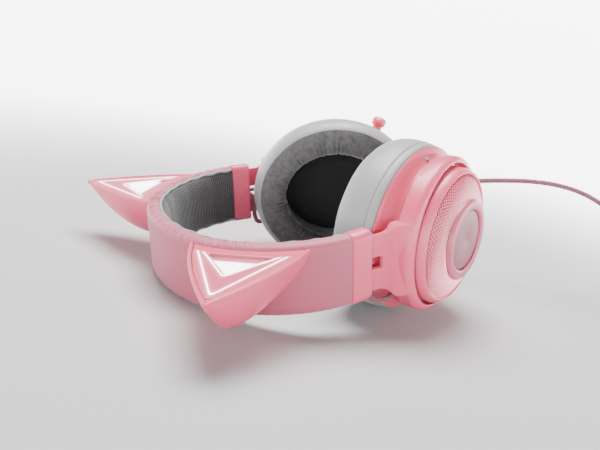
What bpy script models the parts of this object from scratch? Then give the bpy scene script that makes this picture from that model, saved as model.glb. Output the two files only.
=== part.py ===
"""A cat-ear gaming headset: a padded headband with two glowing ears, two slider yokes, two ear
cups that tilt in the yokes, a pull-out microphone, a volume wheel, a mute button and a USB cable.

The headset lies on its back. Its own frame has +X down the wearer's head, +Y to the wearer's left
and +Z to the wearer's front. Lengths below are in millimetres and angles in degrees.
"""

from math import cos, degrees, hypot, pi, radians, sin, sqrt

import bmesh
import bpy
from mathutils import Matrix, Vector

MM = 0.001
GAP = 0.3  # between neighbours that touch on the real thing
RUN = 0.3  # running clearance of what turns or slides
ROUND_STEPS = 32  # sides of the large round pieces
SIDES = {"left": 1, "right": -1}

# Headband: three arcs on each side of the crown, measured on its outer face.
CROWN_X = -139.4
BAND_ARCS = ((0.0, 20.9, 87.0), (20.9, 37.7, 60.5), (37.7, 180.0, 70.5))
BAND_SEAM = 92.4
BAND_END = 102.8
BAND_THICK = 7.5
BAND_HALF = 18.5
BAND_ROUND = 3.0
COVER_WALL = 1.6
COVER_EDGE = 2.9
SPRING_IN = 6.0
SPRING_THICK = 0.8
SPRING_HALF = 11.0
FOAM_END = 66.0
PAD_BULGE = 5.0
BAND_STEP = 6.0

# Slider arms: flat plates that slide along X in the end caps.
ARM_OUT = 70.3
ARM_THICK = 2.0
ARM_HALF = 14.7
ARM_TOP_X = -83.0
SLOT_HALF = 3.2
SLOT_TOP_X = -79.0
SLOT_END_X = -46.5

# Yoke ring round each cup, as half sizes along X and Z and places along the cup's axis.
YOKE_Y = 52.0
YOKE_TOE = 26.8
FACE_TURN = -1.8
RING_X = 46.0
RING_Z = 42.5
RING_WALL_X = 3.0
RING_WALL_Z = 2.3
RING_BACK = -1.4
RING_FRONT = 8.3
LIP_R = 39.6
LIP_DEEP = 1.0
LIP_BACK = 3.0
RING_SHOULDER = 3.4
PIVOT_S = 2.5
PIN_R = 1.8
BUSH_R = 3.6

# Cups: how far each leans out of its yoke at rest, then sizes along X, Z and the axis.
CUP_LEAN = {"left": -0.5, "right": 3.0}
FLANGE_X = 51.0
FLANGE_Z = 45.4
FLANGE_S = -9.6
THROAT_X = 38.2
THROAT_Z = 37.4
THROAT_TOP = 9.0
HOUSING_WALL = 2.0
BAFFLE_X = 47.0
BAFFLE_Z = 41.4
BAFFLE_THICK = 1.4
CUSHION_X = 51.4
CUSHION_Z = 46.9
CUSHION_FACE = -33.6
EAR_HOLE_X = 31.5
EAR_HOLE_Z = 26.8
DRIVER_R = 25.0
DRIVER_BODY_R = 22.0
MAGNET_R = 10.3
MESH_R = 34.4
MESH_S = 14.2
DISC_R = 22.3
DISC_S = 21.2
DISC_RECESS_R = 16.4
BOSS_R = 17.9
LIGHT_BOARD_R = 32.9
SOUND_BOARD_S = 6.8
BOARD_THICK = 1.3

# Microphone, in the left cup: where it comes out, its slope and its stowed length.
MIC_X = 29.0
MIC_Z = 38.0
MIC_S = -5.0
MIC_SLOPE = 20.0
MIC_R = 2.8
MIC_GUIDE_R = 3.5
MIC_LENGTH = 62.0
MIC_TIP_R = 4.5
MIC_RING_LONG = 2.0
MIC_GUIDE_LONG = 7.5
MIC_OUT = 1.6

# Controls on the back of the left cup.
WHEEL_R = 8.0
WHEEL_THICK = 3.6
WHEEL_ANGLE = 62.0
WHEEL_SHOW = 1.8
CONTROL_S = -5.3
BUTTON_R = 3.1
BUTTON_ANGLE = 35.0
BUTTON_SHOW = 1.3
PLUG_R = 1.3

# Ears: a lofted back shell with a flat face.
EAR_X = -111.5
EAR_Y = 53.6
EAR_FRONT = 16.5
EAR_LEAN = 47.9
EAR_HALF = 27.3
EAR_TALL = 56.8
EAR_DEEP = 28.6
EAR_TIP = 1.5
EAR_WALL = 2.2
EAR_BULGE = 0.118
EAR_ROOT = -0.22
EAR_SQUARE = 1.43
FACE_THICK = 1.6
FACE_SUNK = 0.4
GUIDE_THICK = 1.8

# Cables.
LOOP_R = 1.5
CABLE_R = 1.6
CABLE_EXIT_X = 58.0
GLAND_R = 2.4
GLAND_S = -4.4
COIL_X = 226.0
COIL_Y = -104.0
COIL_TURN_R = 19.0
COIL_WIDE = 11.0
COIL_HIGH = 9.6
COIL_LIFT = 1.3
TIE_WIDE = 8.0
TIE_THICK = 0.9
TIE_SLACK = 1.2
PLUG_WIDE = 15.0
PLUG_HIGH = 7.6
PLUG_LONG = 26.0
PLUG_NECK = 8.0
SHELL_WIDE = 12.0
SHELL_HIGH = 4.5
SHELL_LONG = 14.0
SHELL_WALL = 0.35


def material(name, colour, roughness, metallic=0.0):
    """A Principled material, made once for each name."""
    found = bpy.data.materials.get(name)
    if found:
        return found
    made = bpy.data.materials.new(name)
    made.use_nodes = True
    shader = made.node_tree.nodes["Principled BSDF"]
    shader.inputs["Base Color"].default_value = (*colour, 1.0)
    shader.inputs["Roughness"].default_value = roughness
    shader.inputs["Metallic"].default_value = metallic
    return made


def pink():
    return material("satin_pink", (0.86, 0.36, 0.42), 0.38)


def pink_skin():
    return material("pink_leatherette", (0.80, 0.40, 0.47), 0.55)


def grey_cloth():
    return material("grey_cloth", (0.16, 0.15, 0.16), 0.85)


def grey_skin():
    return material("grey_leatherette", (0.50, 0.50, 0.51), 0.5)


def black_cloth():
    return material("black_cloth", (0.01, 0.01, 0.01), 0.9)


def steel():
    return material("spring_steel", (0.6, 0.6, 0.62), 0.3, 1.0)


def board_green():
    return material("board", (0.03, 0.16, 0.08), 0.5)


def glow():
    return material("light_guide", (1.0, 0.94, 0.96), 0.3)


def red_glow():
    return material("red_light_guide", (0.9, 0.03, 0.03), 0.3)


def grey_plastic():
    return material("grey_plastic", (0.3, 0.3, 0.3), 0.6)


def tie_black():
    return material("tie_black", (0.03, 0.03, 0.03), 0.6)


def black_rubber():
    return material("black_rubber", (0.02, 0.02, 0.02), 0.6)


def braid():
    return material("pink_braid", (0.55, 0.25, 0.30), 0.8)


def clear_scene():
    for found in list(bpy.data.objects):
        bpy.data.objects.remove(found)


def empty(name, parent, matrix):
    """An empty that carries a frame; the matrix is relative to its parent."""
    made = bpy.data.objects.new(name, None)
    bpy.context.scene.collection.objects.link(made)
    made.parent = parent
    made.matrix_local = matrix
    return made


def mesh_from(points, faces):
    """A mesh in metres from points in millimetres, with every face turned outwards."""
    mesh = bpy.data.meshes.new("shape")
    mesh.from_pydata([Vector(point) * MM for point in points], [], faces)
    work = bmesh.new()
    work.from_mesh(mesh)
    bmesh.ops.recalc_face_normals(work, faces=work.faces)
    work.to_mesh(mesh)
    work.free()
    return mesh


def moved(mesh, matrix):
    """The mesh placed by a matrix whose shift is in millimetres."""
    scaled = matrix.copy()
    scaled.translation = matrix.translation * MM
    mesh.transform(scaled)
    if matrix.determinant() < 0:
        mesh.flip_normals()
    return mesh


def node(name, mesh, finish, parent):
    """One named sub-part of the headset."""
    made = bpy.data.objects.new(name, mesh)
    made.data.materials.append(finish)
    bpy.context.scene.collection.objects.link(made)
    made.parent = parent
    mesh.shade_smooth()
    mesh.set_sharp_from_angle(angle=radians(35.0))
    return made


def combine(target, tool, operation):
    """A Boolean modifier on the target."""
    change = target.modifiers.new(operation.title(), "BOOLEAN")
    change.operation = operation
    change.object = tool
    change.solver = "EXACT"


def boolean(target, tool_mesh, operation):
    """Cuts the tool from the target, or adds it, with a hidden tool object in the same frame."""
    tool = bpy.data.objects.new(target.name + "_tool", tool_mesh)
    bpy.context.scene.collection.objects.link(tool)
    tool.parent = target.parent
    tool.hide_render = True
    tool.display_type = "WIRE"
    combine(target, tool, operation)


def join(target, tool):
    """Adds another object's shape, with its own modifiers, to the target."""
    combine(target, tool, "UNION")


def cut(target, tool_mesh):
    boolean(target, tool_mesh, "DIFFERENCE")


def add(target, tool_mesh):
    boolean(target, tool_mesh, "UNION")


def ring_solid(profile, side, segments=24):
    """An oval ring: the profile is a closed loop of (half X, half Z, place along the axis)."""
    points = []
    for step in range(segments):
        turn = 2 * pi * step / segments
        points += [(x * cos(turn), side * s, z * sin(turn)) for x, z, s in profile]
    count = len(profile)
    faces = []
    for step in range(segments):
        here = step * count
        there = (step + 1) % segments * count
        for index in range(count):
            after = (index + 1) % count
            faces.append((here + index, here + after, there + after, there + index))
    return mesh_from(points, faces)


def disc_solid(profile, side, segments=24):
    """An oval disc: the profile runs from one flat end cap to the other."""
    points = []
    for x, z, s in profile:
        turns = [2 * pi * step / segments for step in range(segments)]
        points += [(x * cos(turn), side * s, z * sin(turn)) for turn in turns]
    faces = [tuple(range(segments))]
    for row in range(len(profile) - 1):
        for step in range(segments):
            after = (step + 1) % segments
            here = row * segments
            there = here + segments
            faces.append((here + step, here + after, there + after, there + step))
    last = (len(profile) - 1) * segments
    faces.append(tuple(range(last + segments - 1, last - 1, -1)))
    return mesh_from(points, faces)


def round_profile(pairs):
    """A profile of equal half sizes from (radius, place) pairs."""
    return [(radius, radius, place) for radius, place in pairs]


def rod(start, end, radius, segments=14):
    """A plain round rod between two points."""
    start, end = Vector(start), Vector(end)
    along = end - start
    mesh = disc_solid(round_profile([(radius, 0.0), (radius, along.length)]), 1, segments)
    turn = Vector((0, 1, 0)).rotation_difference(along).to_matrix().to_4x4()
    return moved(mesh, Matrix.Translation(start) @ turn)


def box(low, high):
    """A plain box between two corners."""
    x0, y0, z0 = low
    x1, y1, z1 = high
    points = [(x, y, z) for x in (x0, x1) for y in (y0, y1) for z in (z0, z1)]
    faces = [(0, 1, 3, 2), (4, 6, 7, 5), (0, 4, 5, 1), (2, 3, 7, 6), (0, 2, 6, 4), (1, 5, 7, 3)]
    return mesh_from(points, faces)


def prism(outline, low, high, place):
    """An outline of (a, b) pairs drawn out between two levels; place turns (a, b, level) into XYZ."""
    count = len(outline)
    points = [place(a, b, low) for a, b in outline] + [place(a, b, high) for a, b in outline]
    faces = [tuple(range(count)), tuple(range(2 * count - 1, count - 1, -1))]
    for index in range(count):
        after = (index + 1) % count
        faces.append((index, after, count + after, count + index))
    return mesh_from(points, faces)


def band_point(angle, inward, z):
    """A point of the headband: angle from the crown, positive to the left, and depth below its face."""
    x, y = CROWN_X, 0.0
    for start, end, radius in BAND_ARCS:
        a = radians(start)
        b = radians(min(max(abs(angle), start), end))
        x += radius * (cos(a) - cos(b))
        y += radius * (sin(b) - sin(a))
    turn = radians(abs(angle))
    side = -1 if angle < 0 else 1
    return (x + inward * cos(turn), side * (y - inward * sin(turn)), z)


def band_sweep(section, start, end, ends=1.0):
    """A closed section of (depth, z) swept along the headband; ends shrinks its depth at both ends."""
    steps = max(2, round((end - start) / BAND_STEP))
    count = len(section)
    shallow = min(depth for depth, _ in section)
    points = []
    for step in range(steps + 1):
        angle = start + (end - start) * step / steps
        from_end = min(angle - start, end - angle)
        swell = ends + (1.0 - ends) * sin(min(from_end / 40.0, 1.0) * pi / 2)
        points += [band_point(angle, shallow + (d - shallow) * swell, z) for d, z in section]
    faces = [tuple(range(count)), tuple(range(len(points) - 1, len(points) - count - 1, -1))]
    for step in range(steps):
        here = step * count
        for index in range(count):
            after = (index + 1) % count
            faces.append((here + index, here + after, here + count + after, here + count + index))
    return mesh_from(points, faces)


def round_corners(half, thick, radius):
    """The rounded half of a band section's edge, from the outer face to the inner one."""
    inner = radius * 0.4
    arc = [radians(angle) for angle in (0, 30, 60, 90)]
    out = [(radius * (1 - cos(t)), half - radius * (1 - sin(t))) for t in arc]
    back = [(thick - inner, half), (thick, half - inner)]
    return out + back


def mirrored(points):
    """The same section points on the other side of z = 0, in the order that closes the loop."""
    return [(depth, -z) for depth, z in reversed(points)]


def make_headband(root):
    """The cover, foam, spring and crown pad, which follow the same arcs."""
    edge = round_corners(BAND_HALF, BAND_THICK, BAND_ROUND)
    channel = BAND_HALF - COVER_EDGE
    section = edge + [(BAND_THICK, channel), (COVER_WALL, channel)]
    cover_end = BAND_SEAM - degrees(GAP / BAND_ARCS[-1][2])
    cover = band_sweep(section + mirrored(section), -cover_end, cover_end)
    node("band_cover", cover, pink_skin(), root)

    spring_out = SPRING_IN + SPRING_THICK
    strip = [(SPRING_IN, SPRING_HALF), (spring_out, SPRING_HALF)]
    node("band_spring", band_sweep(strip + mirrored(strip), -cover_end, cover_end), steel(), root)

    foam_half = channel - GAP
    foam = [(COVER_WALL + GAP, foam_half), (SPRING_IN - GAP, foam_half)]
    node("band_foam", band_sweep(foam + mirrored(foam), -FOAM_END, FOAM_END), grey_cloth(), root)

    back = spring_out + GAP
    crest = [(back, foam_half), (back + 1.6, foam_half), (back + 3.6, foam_half - 2.0)]
    crest += [(back + PAD_BULGE - 0.4, foam_half / 2)]
    pad = band_sweep(crest + mirrored(crest), -cover_end, cover_end, ends=0.3)
    node("crown_pad", pad, grey_cloth(), root)


def make_end_cap(name, side, root):
    """The moulded cap that closes one end of the headband and guides the slider arm."""
    edge = round_corners(BAND_HALF + 0.2, BAND_THICK + 0.8, BAND_ROUND)
    low, high = sorted((side * BAND_SEAM, side * BAND_END))
    cap = node("end_cap_" + name, band_sweep(edge + mirrored(edge), low, high), pink(), root)
    y0, y1 = sorted((side * (ARM_OUT - ARM_THICK - RUN), side * (ARM_OUT + RUN)))
    wide = ARM_HALF + RUN
    cut(cap, box((ARM_TOP_X, y0, -wide), (SLOT_END_X, y1, wide)))


def toe_matrix(side, toe, y):
    """A cup or yoke frame in the headset: its axis leans in at the wearer's chin."""
    turn = Matrix.Rotation(radians(-side * toe), 4, "Z") @ Matrix.Rotation(radians(side * FACE_TURN), 4, "X")
    return Matrix.Translation((0, side * y * MM, 0)) @ turn


def ring_profile():
    """The yoke ring's section, from its back edge over the shoulder and the lip to its inner wall."""
    round_x = RING_X - LIP_R
    round_z = RING_Z - LIP_R
    deep = RING_FRONT - RING_SHOULDER
    shoulder = []
    for turn in (0.0, 0.55, 1.0, 1.3):
        inward = 1 - cos(turn)
        shoulder.append((RING_X - round_x * inward, RING_Z - round_z * inward, deep + RING_SHOULDER * sin(turn)))
    lip = [(LIP_R, LIP_R, RING_FRONT), (LIP_R, LIP_R, RING_FRONT - LIP_DEEP)]
    inner_x = RING_X - RING_WALL_X
    inner_z = RING_Z - RING_WALL_Z
    inner = [(inner_x, inner_z, RING_FRONT - LIP_BACK), (inner_x, inner_z, RING_BACK)]
    return [(RING_X, RING_Z, RING_BACK)] + shoulder + lip + inner


def arm_side_view():
    """The slider arm seen from the wearer's front: a straight plate with a hollow shoulder."""
    inner_y = ARM_OUT - ARM_THICK
    low = [(ARM_TOP_X, inner_y), (-37.6, inner_y), (-33.0, inner_y + 3.2), (-33.0, ARM_OUT + 6.2)]
    shoulder = [(-38.6, ARM_OUT + 5.4), (-41.6, ARM_OUT + 3.6), (-44.6, ARM_OUT + 0.9), (-47.4, ARM_OUT)]
    return low + shoulder + [(ARM_TOP_X, ARM_OUT)]


def arm_front_view():
    """The slider arm seen from the side of the head: it flares where it meets the ring."""
    flare = [(-47.2, ARM_HALF), (-44.6, ARM_HALF + 0.5), (-42.6, ARM_HALF + 2.0), (-41.2, ARM_HALF + 4.4)]
    front = [(ARM_TOP_X - 1, ARM_HALF)] + flare + [(-30.0, ARM_HALF + 4.4)]
    return front + [(x, -z) for x, z in reversed(front)]


def make_yoke(name, side, slider):
    """The slider arm and the ring round the cup, one moulding, in the yoke's own frame."""
    yoke = node("yoke_" + name, ring_solid(ring_profile(), side, ROUND_STEPS), pink(), slider)
    to_yoke = toe_matrix(side, YOKE_TOE, YOKE_Y).inverted()
    to_yoke.translation = to_yoke.translation / MM

    reach = BAND_HALF + 4
    plate = prism(arm_side_view(), -reach, reach, lambda x, y, z: (x, side * y, z))
    arm = node("arm_tool_" + name, moved(plate, to_yoke), pink(), slider)
    arm.hide_render = True
    arm.display_type = "WIRE"
    outline = prism(arm_front_view(), 40.0, 100.0, lambda x, z, y: (x, side * y, z))
    boolean(arm, moved(outline, to_yoke), "INTERSECT")
    join(yoke, arm)

    wall_x, wall_z, _ = ring_profile()[-1]
    hollow = [(wall_x, wall_z, RING_BACK - 9.0), (wall_x, wall_z, RING_FRONT - LIP_BACK),
              (LIP_R, LIP_R, RING_FRONT - LIP_DEEP), (LIP_R, LIP_R, RING_FRONT + 6.0)]
    cut(yoke, disc_solid(hollow, side, ROUND_STEPS))
    near, far = sorted((side * 60.0, side * 80.0))
    cut(yoke, moved(box((SLOT_TOP_X, near, -SLOT_HALF), (SLOT_END_X, far, SLOT_HALF)), to_yoke))
    reach = RING_Z + 3
    cut(yoke, rod((0, side * PIVOT_S, -reach), (0, side * PIVOT_S, reach), PIN_R + RUN))
    if side > 0:
        cut_notches(yoke)


def cut_notches(yoke):
    """Clears the left yoke's back edge for the cable's strain relief and for the microphone."""
    wide = GLAND_R + 1
    cut(yoke, box((RING_X - 8, RING_BACK - 2, -wide), (RING_X + 4, RING_BACK + 4, wide)))
    lift = Vector((0, RING_BACK - MIC_S - MIC_R + 1.6, 0))
    cut(yoke, rod(mic_point(-14.0) + lift, mic_point(14.0) + lift, MIC_R + 0.8))


def make_pivots(name, side, slider):
    """The two pins that carry the cup, and the bushes between ring and cup."""
    for label, end in (("front_", 1), ("rear_", -1)):
        low = end * (THROAT_Z - HOUSING_WALL + GAP)
        high = end * (RING_Z - GAP)
        pin = rod((0, side * PIVOT_S, low), (0, side * PIVOT_S, high), PIN_R)
        node("pivot_pin_" + label + name, pin, steel(), slider)
        hole = PIN_R + RUN
        near = THROAT_Z + GAP
        far = RING_Z - RING_WALL_Z - 2 * GAP
        bush = ring_solid(round_profile([(hole, near), (BUSH_R, near), (BUSH_R, far), (hole, far)]), 1, 16)
        turn = Matrix.Rotation(radians(90 * end), 4, "X")
        bush = moved(bush, Matrix.Translation((0, side * PIVOT_S, 0)) @ turn)
        node("pivot_bush_" + label + name, bush, pink(), slider)


def oval_point(angle, s):
    """A point on the housing's throat side, angle from the chin towards the back of the head."""
    turn = radians(angle)
    return Vector(((THROAT_X + 3.0) * cos(turn), s, -(THROAT_Z + 1.6) * sin(turn)))


def mic_point(along):
    """A point on the microphone's axis in the left cup, along it from where it comes out."""
    slope = radians(MIC_SLOPE)
    return Vector((MIC_X + along * sin(slope), MIC_S, MIC_Z + along * cos(slope)))


def housing_profile():
    wall = HOUSING_WALL
    inner_x = THROAT_X - wall
    inner_z = THROAT_Z - wall
    outer = [(FLANGE_X - 0.3, FLANGE_Z - 0.3, FLANGE_S), (FLANGE_X, FLANGE_Z, FLANGE_S + 0.5),
             (FLANGE_X - 1.8, FLANGE_Z - 1.2, FLANGE_S + 1.3),
             (FLANGE_X - 5.0, FLANGE_Z - 3.5, FLANGE_S + 2.2),
             (THROAT_X + 4.6, THROAT_Z + 2.6, FLANGE_S + 3.4),
             (THROAT_X + 2.0, THROAT_Z + 1.2, FLANGE_S + 5.2),
             (THROAT_X + 0.5, THROAT_Z + 0.3, FLANGE_S + 8.0), (THROAT_X, THROAT_Z, 2.0),
             (THROAT_X, THROAT_Z, THROAT_TOP)]
    inner = [(inner_x, inner_z, THROAT_TOP), (inner_x, inner_z, -2.0), (inner_x + 1.3, inner_z + 0.5, -5.2),
             (inner_x + 4.0, inner_z + 1.4, FLANGE_S + 2.0), (BAFFLE_X - 2.5, BAFFLE_Z - 2.5, FLANGE_S + 1.2),
             (BAFFLE_X - 2.5, BAFFLE_Z - 2.5, FLANGE_S)]
    return outer + inner


def make_housing(name, side, cup):
    """The pink shell between the cushion and the outer cover, with the holes its pieces need."""
    housing = node("cup_housing_" + name, ring_solid(housing_profile(), side, ROUND_STEPS), pink(), cup)
    reach = THROAT_Z + 2
    cut(housing, rod((0, side * PIVOT_S, -reach), (0, side * PIVOT_S, reach), PIN_R + RUN))
    plug, out = plug_place(side)
    cut(housing, rod(plug - out * 1.3, plug + out * 4, PLUG_R + GAP, 12))
    if side < 0:
        return
    cut(housing, rod(mic_point(-18), mic_point(-6), MIC_GUIDE_R + GAP))
    cut(housing, rod(mic_point(-9), mic_point(16), MIC_R + RUN))
    cut(housing, rod((THROAT_X - 6, GLAND_S, 0), (FLANGE_X + 6, GLAND_S, 0), GLAND_R + GAP))
    wheel, _ = wheel_place()
    thick = WHEEL_THICK / 2 + RUN
    cut(housing, moved(disc_solid(round_profile([(WHEEL_R + RUN, -thick), (WHEEL_R + RUN, thick)]), 1, 28),
                       Matrix.Translation(wheel)))
    button, out = button_place()
    cut(housing, rod(button - out * 7, button + out * 6, BUTTON_R + RUN))


def plug_place(side):
    """Where the grey plug sits in the housing's hollow flank, and which way it faces."""
    out = Vector((0.0, side * 0.62, 0.78)).normalized()
    return Vector((-1.0, side * (FLANGE_S + 3.3), THROAT_Z + 2.8)), out


def wheel_place():
    """The volume wheel's centre and the direction in which it shows."""
    face = oval_point(WHEEL_ANGLE, CONTROL_S)
    out = Vector((face.x, 0, face.z)).normalized()
    return face + out * (WHEEL_SHOW - WHEEL_R), out


def button_place():
    """The mute button's place on the housing's face and the direction in which it shows."""
    face = oval_point(BUTTON_ANGLE, CONTROL_S)
    return face, Vector((face.x, 0, face.z)).normalized()


def make_cup_front(name, side, cup):
    """The baffle, driver, cloth and cushion, on the ear's side of the housing."""
    back = FLANGE_S - GAP
    front = back - BAFFLE_THICK
    hole = DRIVER_BODY_R + GAP
    baffle = [(BAFFLE_X, BAFFLE_Z, back), (BAFFLE_X, BAFFLE_Z, front), (hole, hole, front),
              (hole, hole, back)]
    node("baffle_" + name, ring_solid(baffle, side), grey_plastic(), cup)

    seat = front - GAP
    driver = round_profile([(DRIVER_R, seat - 1.3), (DRIVER_R, seat), (DRIVER_BODY_R, seat),
                            (DRIVER_BODY_R, FLANGE_S + 0.3), (MAGNET_R + 1.0, FLANGE_S + 0.8),
                            (MAGNET_R, FLANGE_S + 1.0), (MAGNET_R, FLANGE_S + 6.2)])
    node("driver_" + name, disc_solid(driver, side, 32), steel(), cup)

    cloth = seat - 1.3 - GAP
    hole_x = EAR_HOLE_X - GAP
    hole_z = EAR_HOLE_Z - GAP
    cover = [(hole_x, hole_z, cloth), (hole_x, hole_z, cloth - 0.7)]
    node("driver_cloth_" + name, disc_solid(cover, side), black_cloth(), cup)

    lap_x = BAFFLE_X + GAP
    lap_z = BAFFLE_Z + GAP
    wall = [(lap_x, lap_z, back), (FLANGE_X - 0.4, FLANGE_Z - 0.2, back),
            (FLANGE_X, FLANGE_Z + 0.6, back - 3), (CUSHION_X, CUSHION_Z, back - 10),
            (CUSHION_X - 0.2, CUSHION_Z, back - 16)]
    face = [(CUSHION_X - 1.6, CUSHION_Z - 1.3, CUSHION_FACE + 2.6),
            (CUSHION_X - 4.2, CUSHION_Z - 4.1, CUSHION_FACE),
            (EAR_HOLE_X + 2.2, EAR_HOLE_Z + 2.2, CUSHION_FACE)]
    hollow = [(EAR_HOLE_X, EAR_HOLE_Z, CUSHION_FACE + 3.4), (EAR_HOLE_X, EAR_HOLE_Z, seat - 1.4),
              (EAR_HOLE_X + 1.8, EAR_HOLE_Z + 1.8, seat), (lap_x, lap_z, seat)]
    node("ear_cushion_" + name, ring_solid(wall + face + hollow, side), grey_skin(), cup)


def make_cup_back(name, side, cup):
    """The cover ring, its perforated dome, the lit centre disc and the board behind them."""
    seat = THROAT_TOP + GAP
    ledge = MESH_R - 1.2
    cover = [(THROAT_X, THROAT_Z, seat), (THROAT_X, THROAT_Z, seat + 1.6),
             (THROAT_X - 0.9, THROAT_Z - 0.6, seat + 3.4),
             (THROAT_X - 2.2, THROAT_Z - 1.4, MESH_S - 0.5), (MESH_R + 0.6, MESH_R + 0.7, MESH_S),
             (MESH_R, MESH_R, MESH_S - 0.7), (MESH_R, MESH_R, seat + 1.9), (ledge, ledge, seat + 1.9),
             (ledge, ledge, seat)]
    node("cup_cover_" + name, ring_solid(cover, side, ROUND_STEPS), pink(), cup)

    rim = MESH_R - GAP
    hole = BOSS_R + GAP
    low = seat + 1.9 + GAP
    grille = round_profile([(rim, low), (rim, MESH_S - 0.8), (31.0, MESH_S + 1.0), (27.0, MESH_S + 2.8),
                            (DISC_R, MESH_S + 4.2), (hole, MESH_S + 4.8), (hole, MESH_S + 3.8),
                            (DISC_R, MESH_S + 3.2), (27.0, MESH_S + 1.8), (31.0, MESH_S - 0.1),
                            (rim - 1.4, MESH_S - 1.4), (rim - 1.4, low)])
    node("cup_grille_" + name, ring_solid(grille, side, ROUND_STEPS), pink(), cup)

    under = MESH_S + 4.8 + GAP
    disc = round_profile([(BOSS_R, MESH_S + 2.4), (BOSS_R, under), (DISC_R - 0.6, under),
                          (DISC_R, under + 0.5), (DISC_R, DISC_S - 0.7), (DISC_R - 0.8, DISC_S),
                          (DISC_RECESS_R, DISC_S), (DISC_RECESS_R - 0.5, DISC_S - 0.9)])
    node("centre_disc_" + name, disc_solid(disc, side, ROUND_STEPS), pink(), cup)

    lights = round_profile([(LIGHT_BOARD_R, seat), (LIGHT_BOARD_R, seat + BOARD_THICK)])
    node("light_board_" + name, disc_solid(lights, side, ROUND_STEPS), board_green(), cup)


def make_plug(name, side, cup):
    """The small grey plug over the housing's front screw."""
    place, out = plug_place(side)
    plug = rod(place - out * 0.9, place + out * 0.9, PLUG_R, 12)
    node("screw_plug_" + name, plug, material("grey_plug", (0.45, 0.45, 0.45), 0.6), cup)


def make_microphone(cup, mic):
    """The pull-out boom, its tip and light ring, and the guide in the cup."""
    boom = rod(mic_point(GAP - MIC_LENGTH), mic_point(MIC_OUT), MIC_R)
    node("mic_boom", boom, black_rubber(), mic)
    ring_at = MIC_OUT + GAP
    tip_at = ring_at + MIC_RING_LONG + GAP
    ring = rod(mic_point(ring_at), mic_point(ring_at + MIC_RING_LONG), MIC_TIP_R - 0.3, 24)
    node("mic_light_ring", ring, red_glow(), mic)
    cap = disc_solid(round_profile([(MIC_TIP_R, 0.0), (MIC_TIP_R, 1.4), (MIC_TIP_R - 1.5, 2.8)]), 1, 24)
    turn = Vector((0, 1, 0)).rotation_difference(mic_point(1) - mic_point(0)).to_matrix().to_4x4()
    node("mic_tip", moved(cap, Matrix.Translation(mic_point(tip_at)) @ turn), pink(), mic)
    bore = MIC_R + RUN
    sleeve = round_profile([(bore, 0.0), (MIC_GUIDE_R, 0.0), (MIC_GUIDE_R, MIC_GUIDE_LONG),
                            (bore, MIC_GUIDE_LONG)])
    guide = moved(ring_solid(sleeve, 1, 16), Matrix.Translation(mic_point(-14.0)) @ turn)
    node("mic_guide", guide, grey_plastic(), cup)


def make_controls(cup, wheel_frame, button_frame):
    """The volume wheel on its stub pins and the mute button, each in its own frame."""
    half = WHEEL_THICK / 2
    stub = -FLANGE_S + GAP + CONTROL_S - GAP
    wheel = round_profile([(1.4, -stub), (1.4, -half), (WHEEL_R - 0.5, -half), (WHEEL_R, -half + 0.5),
                           (WHEEL_R, half - 0.5), (WHEEL_R - 0.5, half), (1.4, half), (1.4, half + 1.2)])
    node("volume_wheel", disc_solid(wheel, 1, 28), grey_plastic(), wheel_frame)
    _, out = button_place()
    button = rod(out * -3.6, out * BUTTON_SHOW, BUTTON_R, 20)
    node("mute_button", button, grey_plastic(), button_frame)
    board_x = THROAT_X - HOUSING_WALL - GAP
    board_z = THROAT_Z - HOUSING_WALL - GAP
    board = [(board_x, board_z, SOUND_BOARD_S), (board_x, board_z, SOUND_BOARD_S + BOARD_THICK)]
    node("sound_board", disc_solid(board, 1, ROUND_STEPS), board_green(), cup)


def make_gland(cup):
    """The tapered strain relief in the chin end of the left cup."""
    start = THROAT_X - 4.4
    collar = GLAND_R + 1.2
    relief = round_profile([(collar, 0.0), (collar, 1.0), (GLAND_R, 1.0), (GLAND_R, FLANGE_X - start),
                            (CABLE_R + 0.4, CABLE_EXIT_X - start)])
    turn = Matrix.Rotation(radians(-90.0), 4, "Z")
    mesh = moved(disc_solid(relief, 1, 18), Matrix.Translation((start, GLAND_S, 0)) @ turn)
    node("strain_relief", mesh, material("grey_rubber", (0.2, 0.2, 0.2), 0.7), cup)


def ear_half(height, wall=0.0):
    """Half the ear's width at a height from 0 at its root line to 1 at its tip."""
    return EAR_HALF * ((1 - height) + EAR_BULGE * 4 * height * (1 - height)) + EAR_TIP - wall


def ear_depth(height, wall=0.0):
    """How far the ear's back lies behind its face."""
    rise = max(height, 0.0)
    return EAR_DEEP * (1 - rise ** 2.615) + 2 * EAR_TIP - wall


def ear_frame(side):
    """A frame on the ear's root line: X along the root, Y to the tip, Z to the wearer's front."""
    lean = radians(EAR_LEAN)
    tip = Vector((-cos(lean), side * sin(lean), 0))
    wide = Vector((sin(lean), side * cos(lean), 0))
    turn = Matrix((wide, tip, (0, 0, 1))).transposed().to_4x4()
    return Matrix.Translation((EAR_X, side * EAR_Y, EAR_FRONT)) @ turn


def ear_section(height, wall):
    """One curved section of the ear, from one side of its face round the back to the other."""
    half = ear_half(height, wall)
    deep = ear_depth(height, wall)
    points = []
    for angle in (0, 12, 26, 42, 60, 90, 120, 138, 154, 168, 180):
        turn = radians(angle)
        swing = abs(cos(turn)) ** EAR_SQUARE
        u = half * (swing if cos(turn) > 0 else -swing)
        points.append((u, height * EAR_TALL, -deep * sin(turn) ** EAR_SQUARE))
    return points


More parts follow.
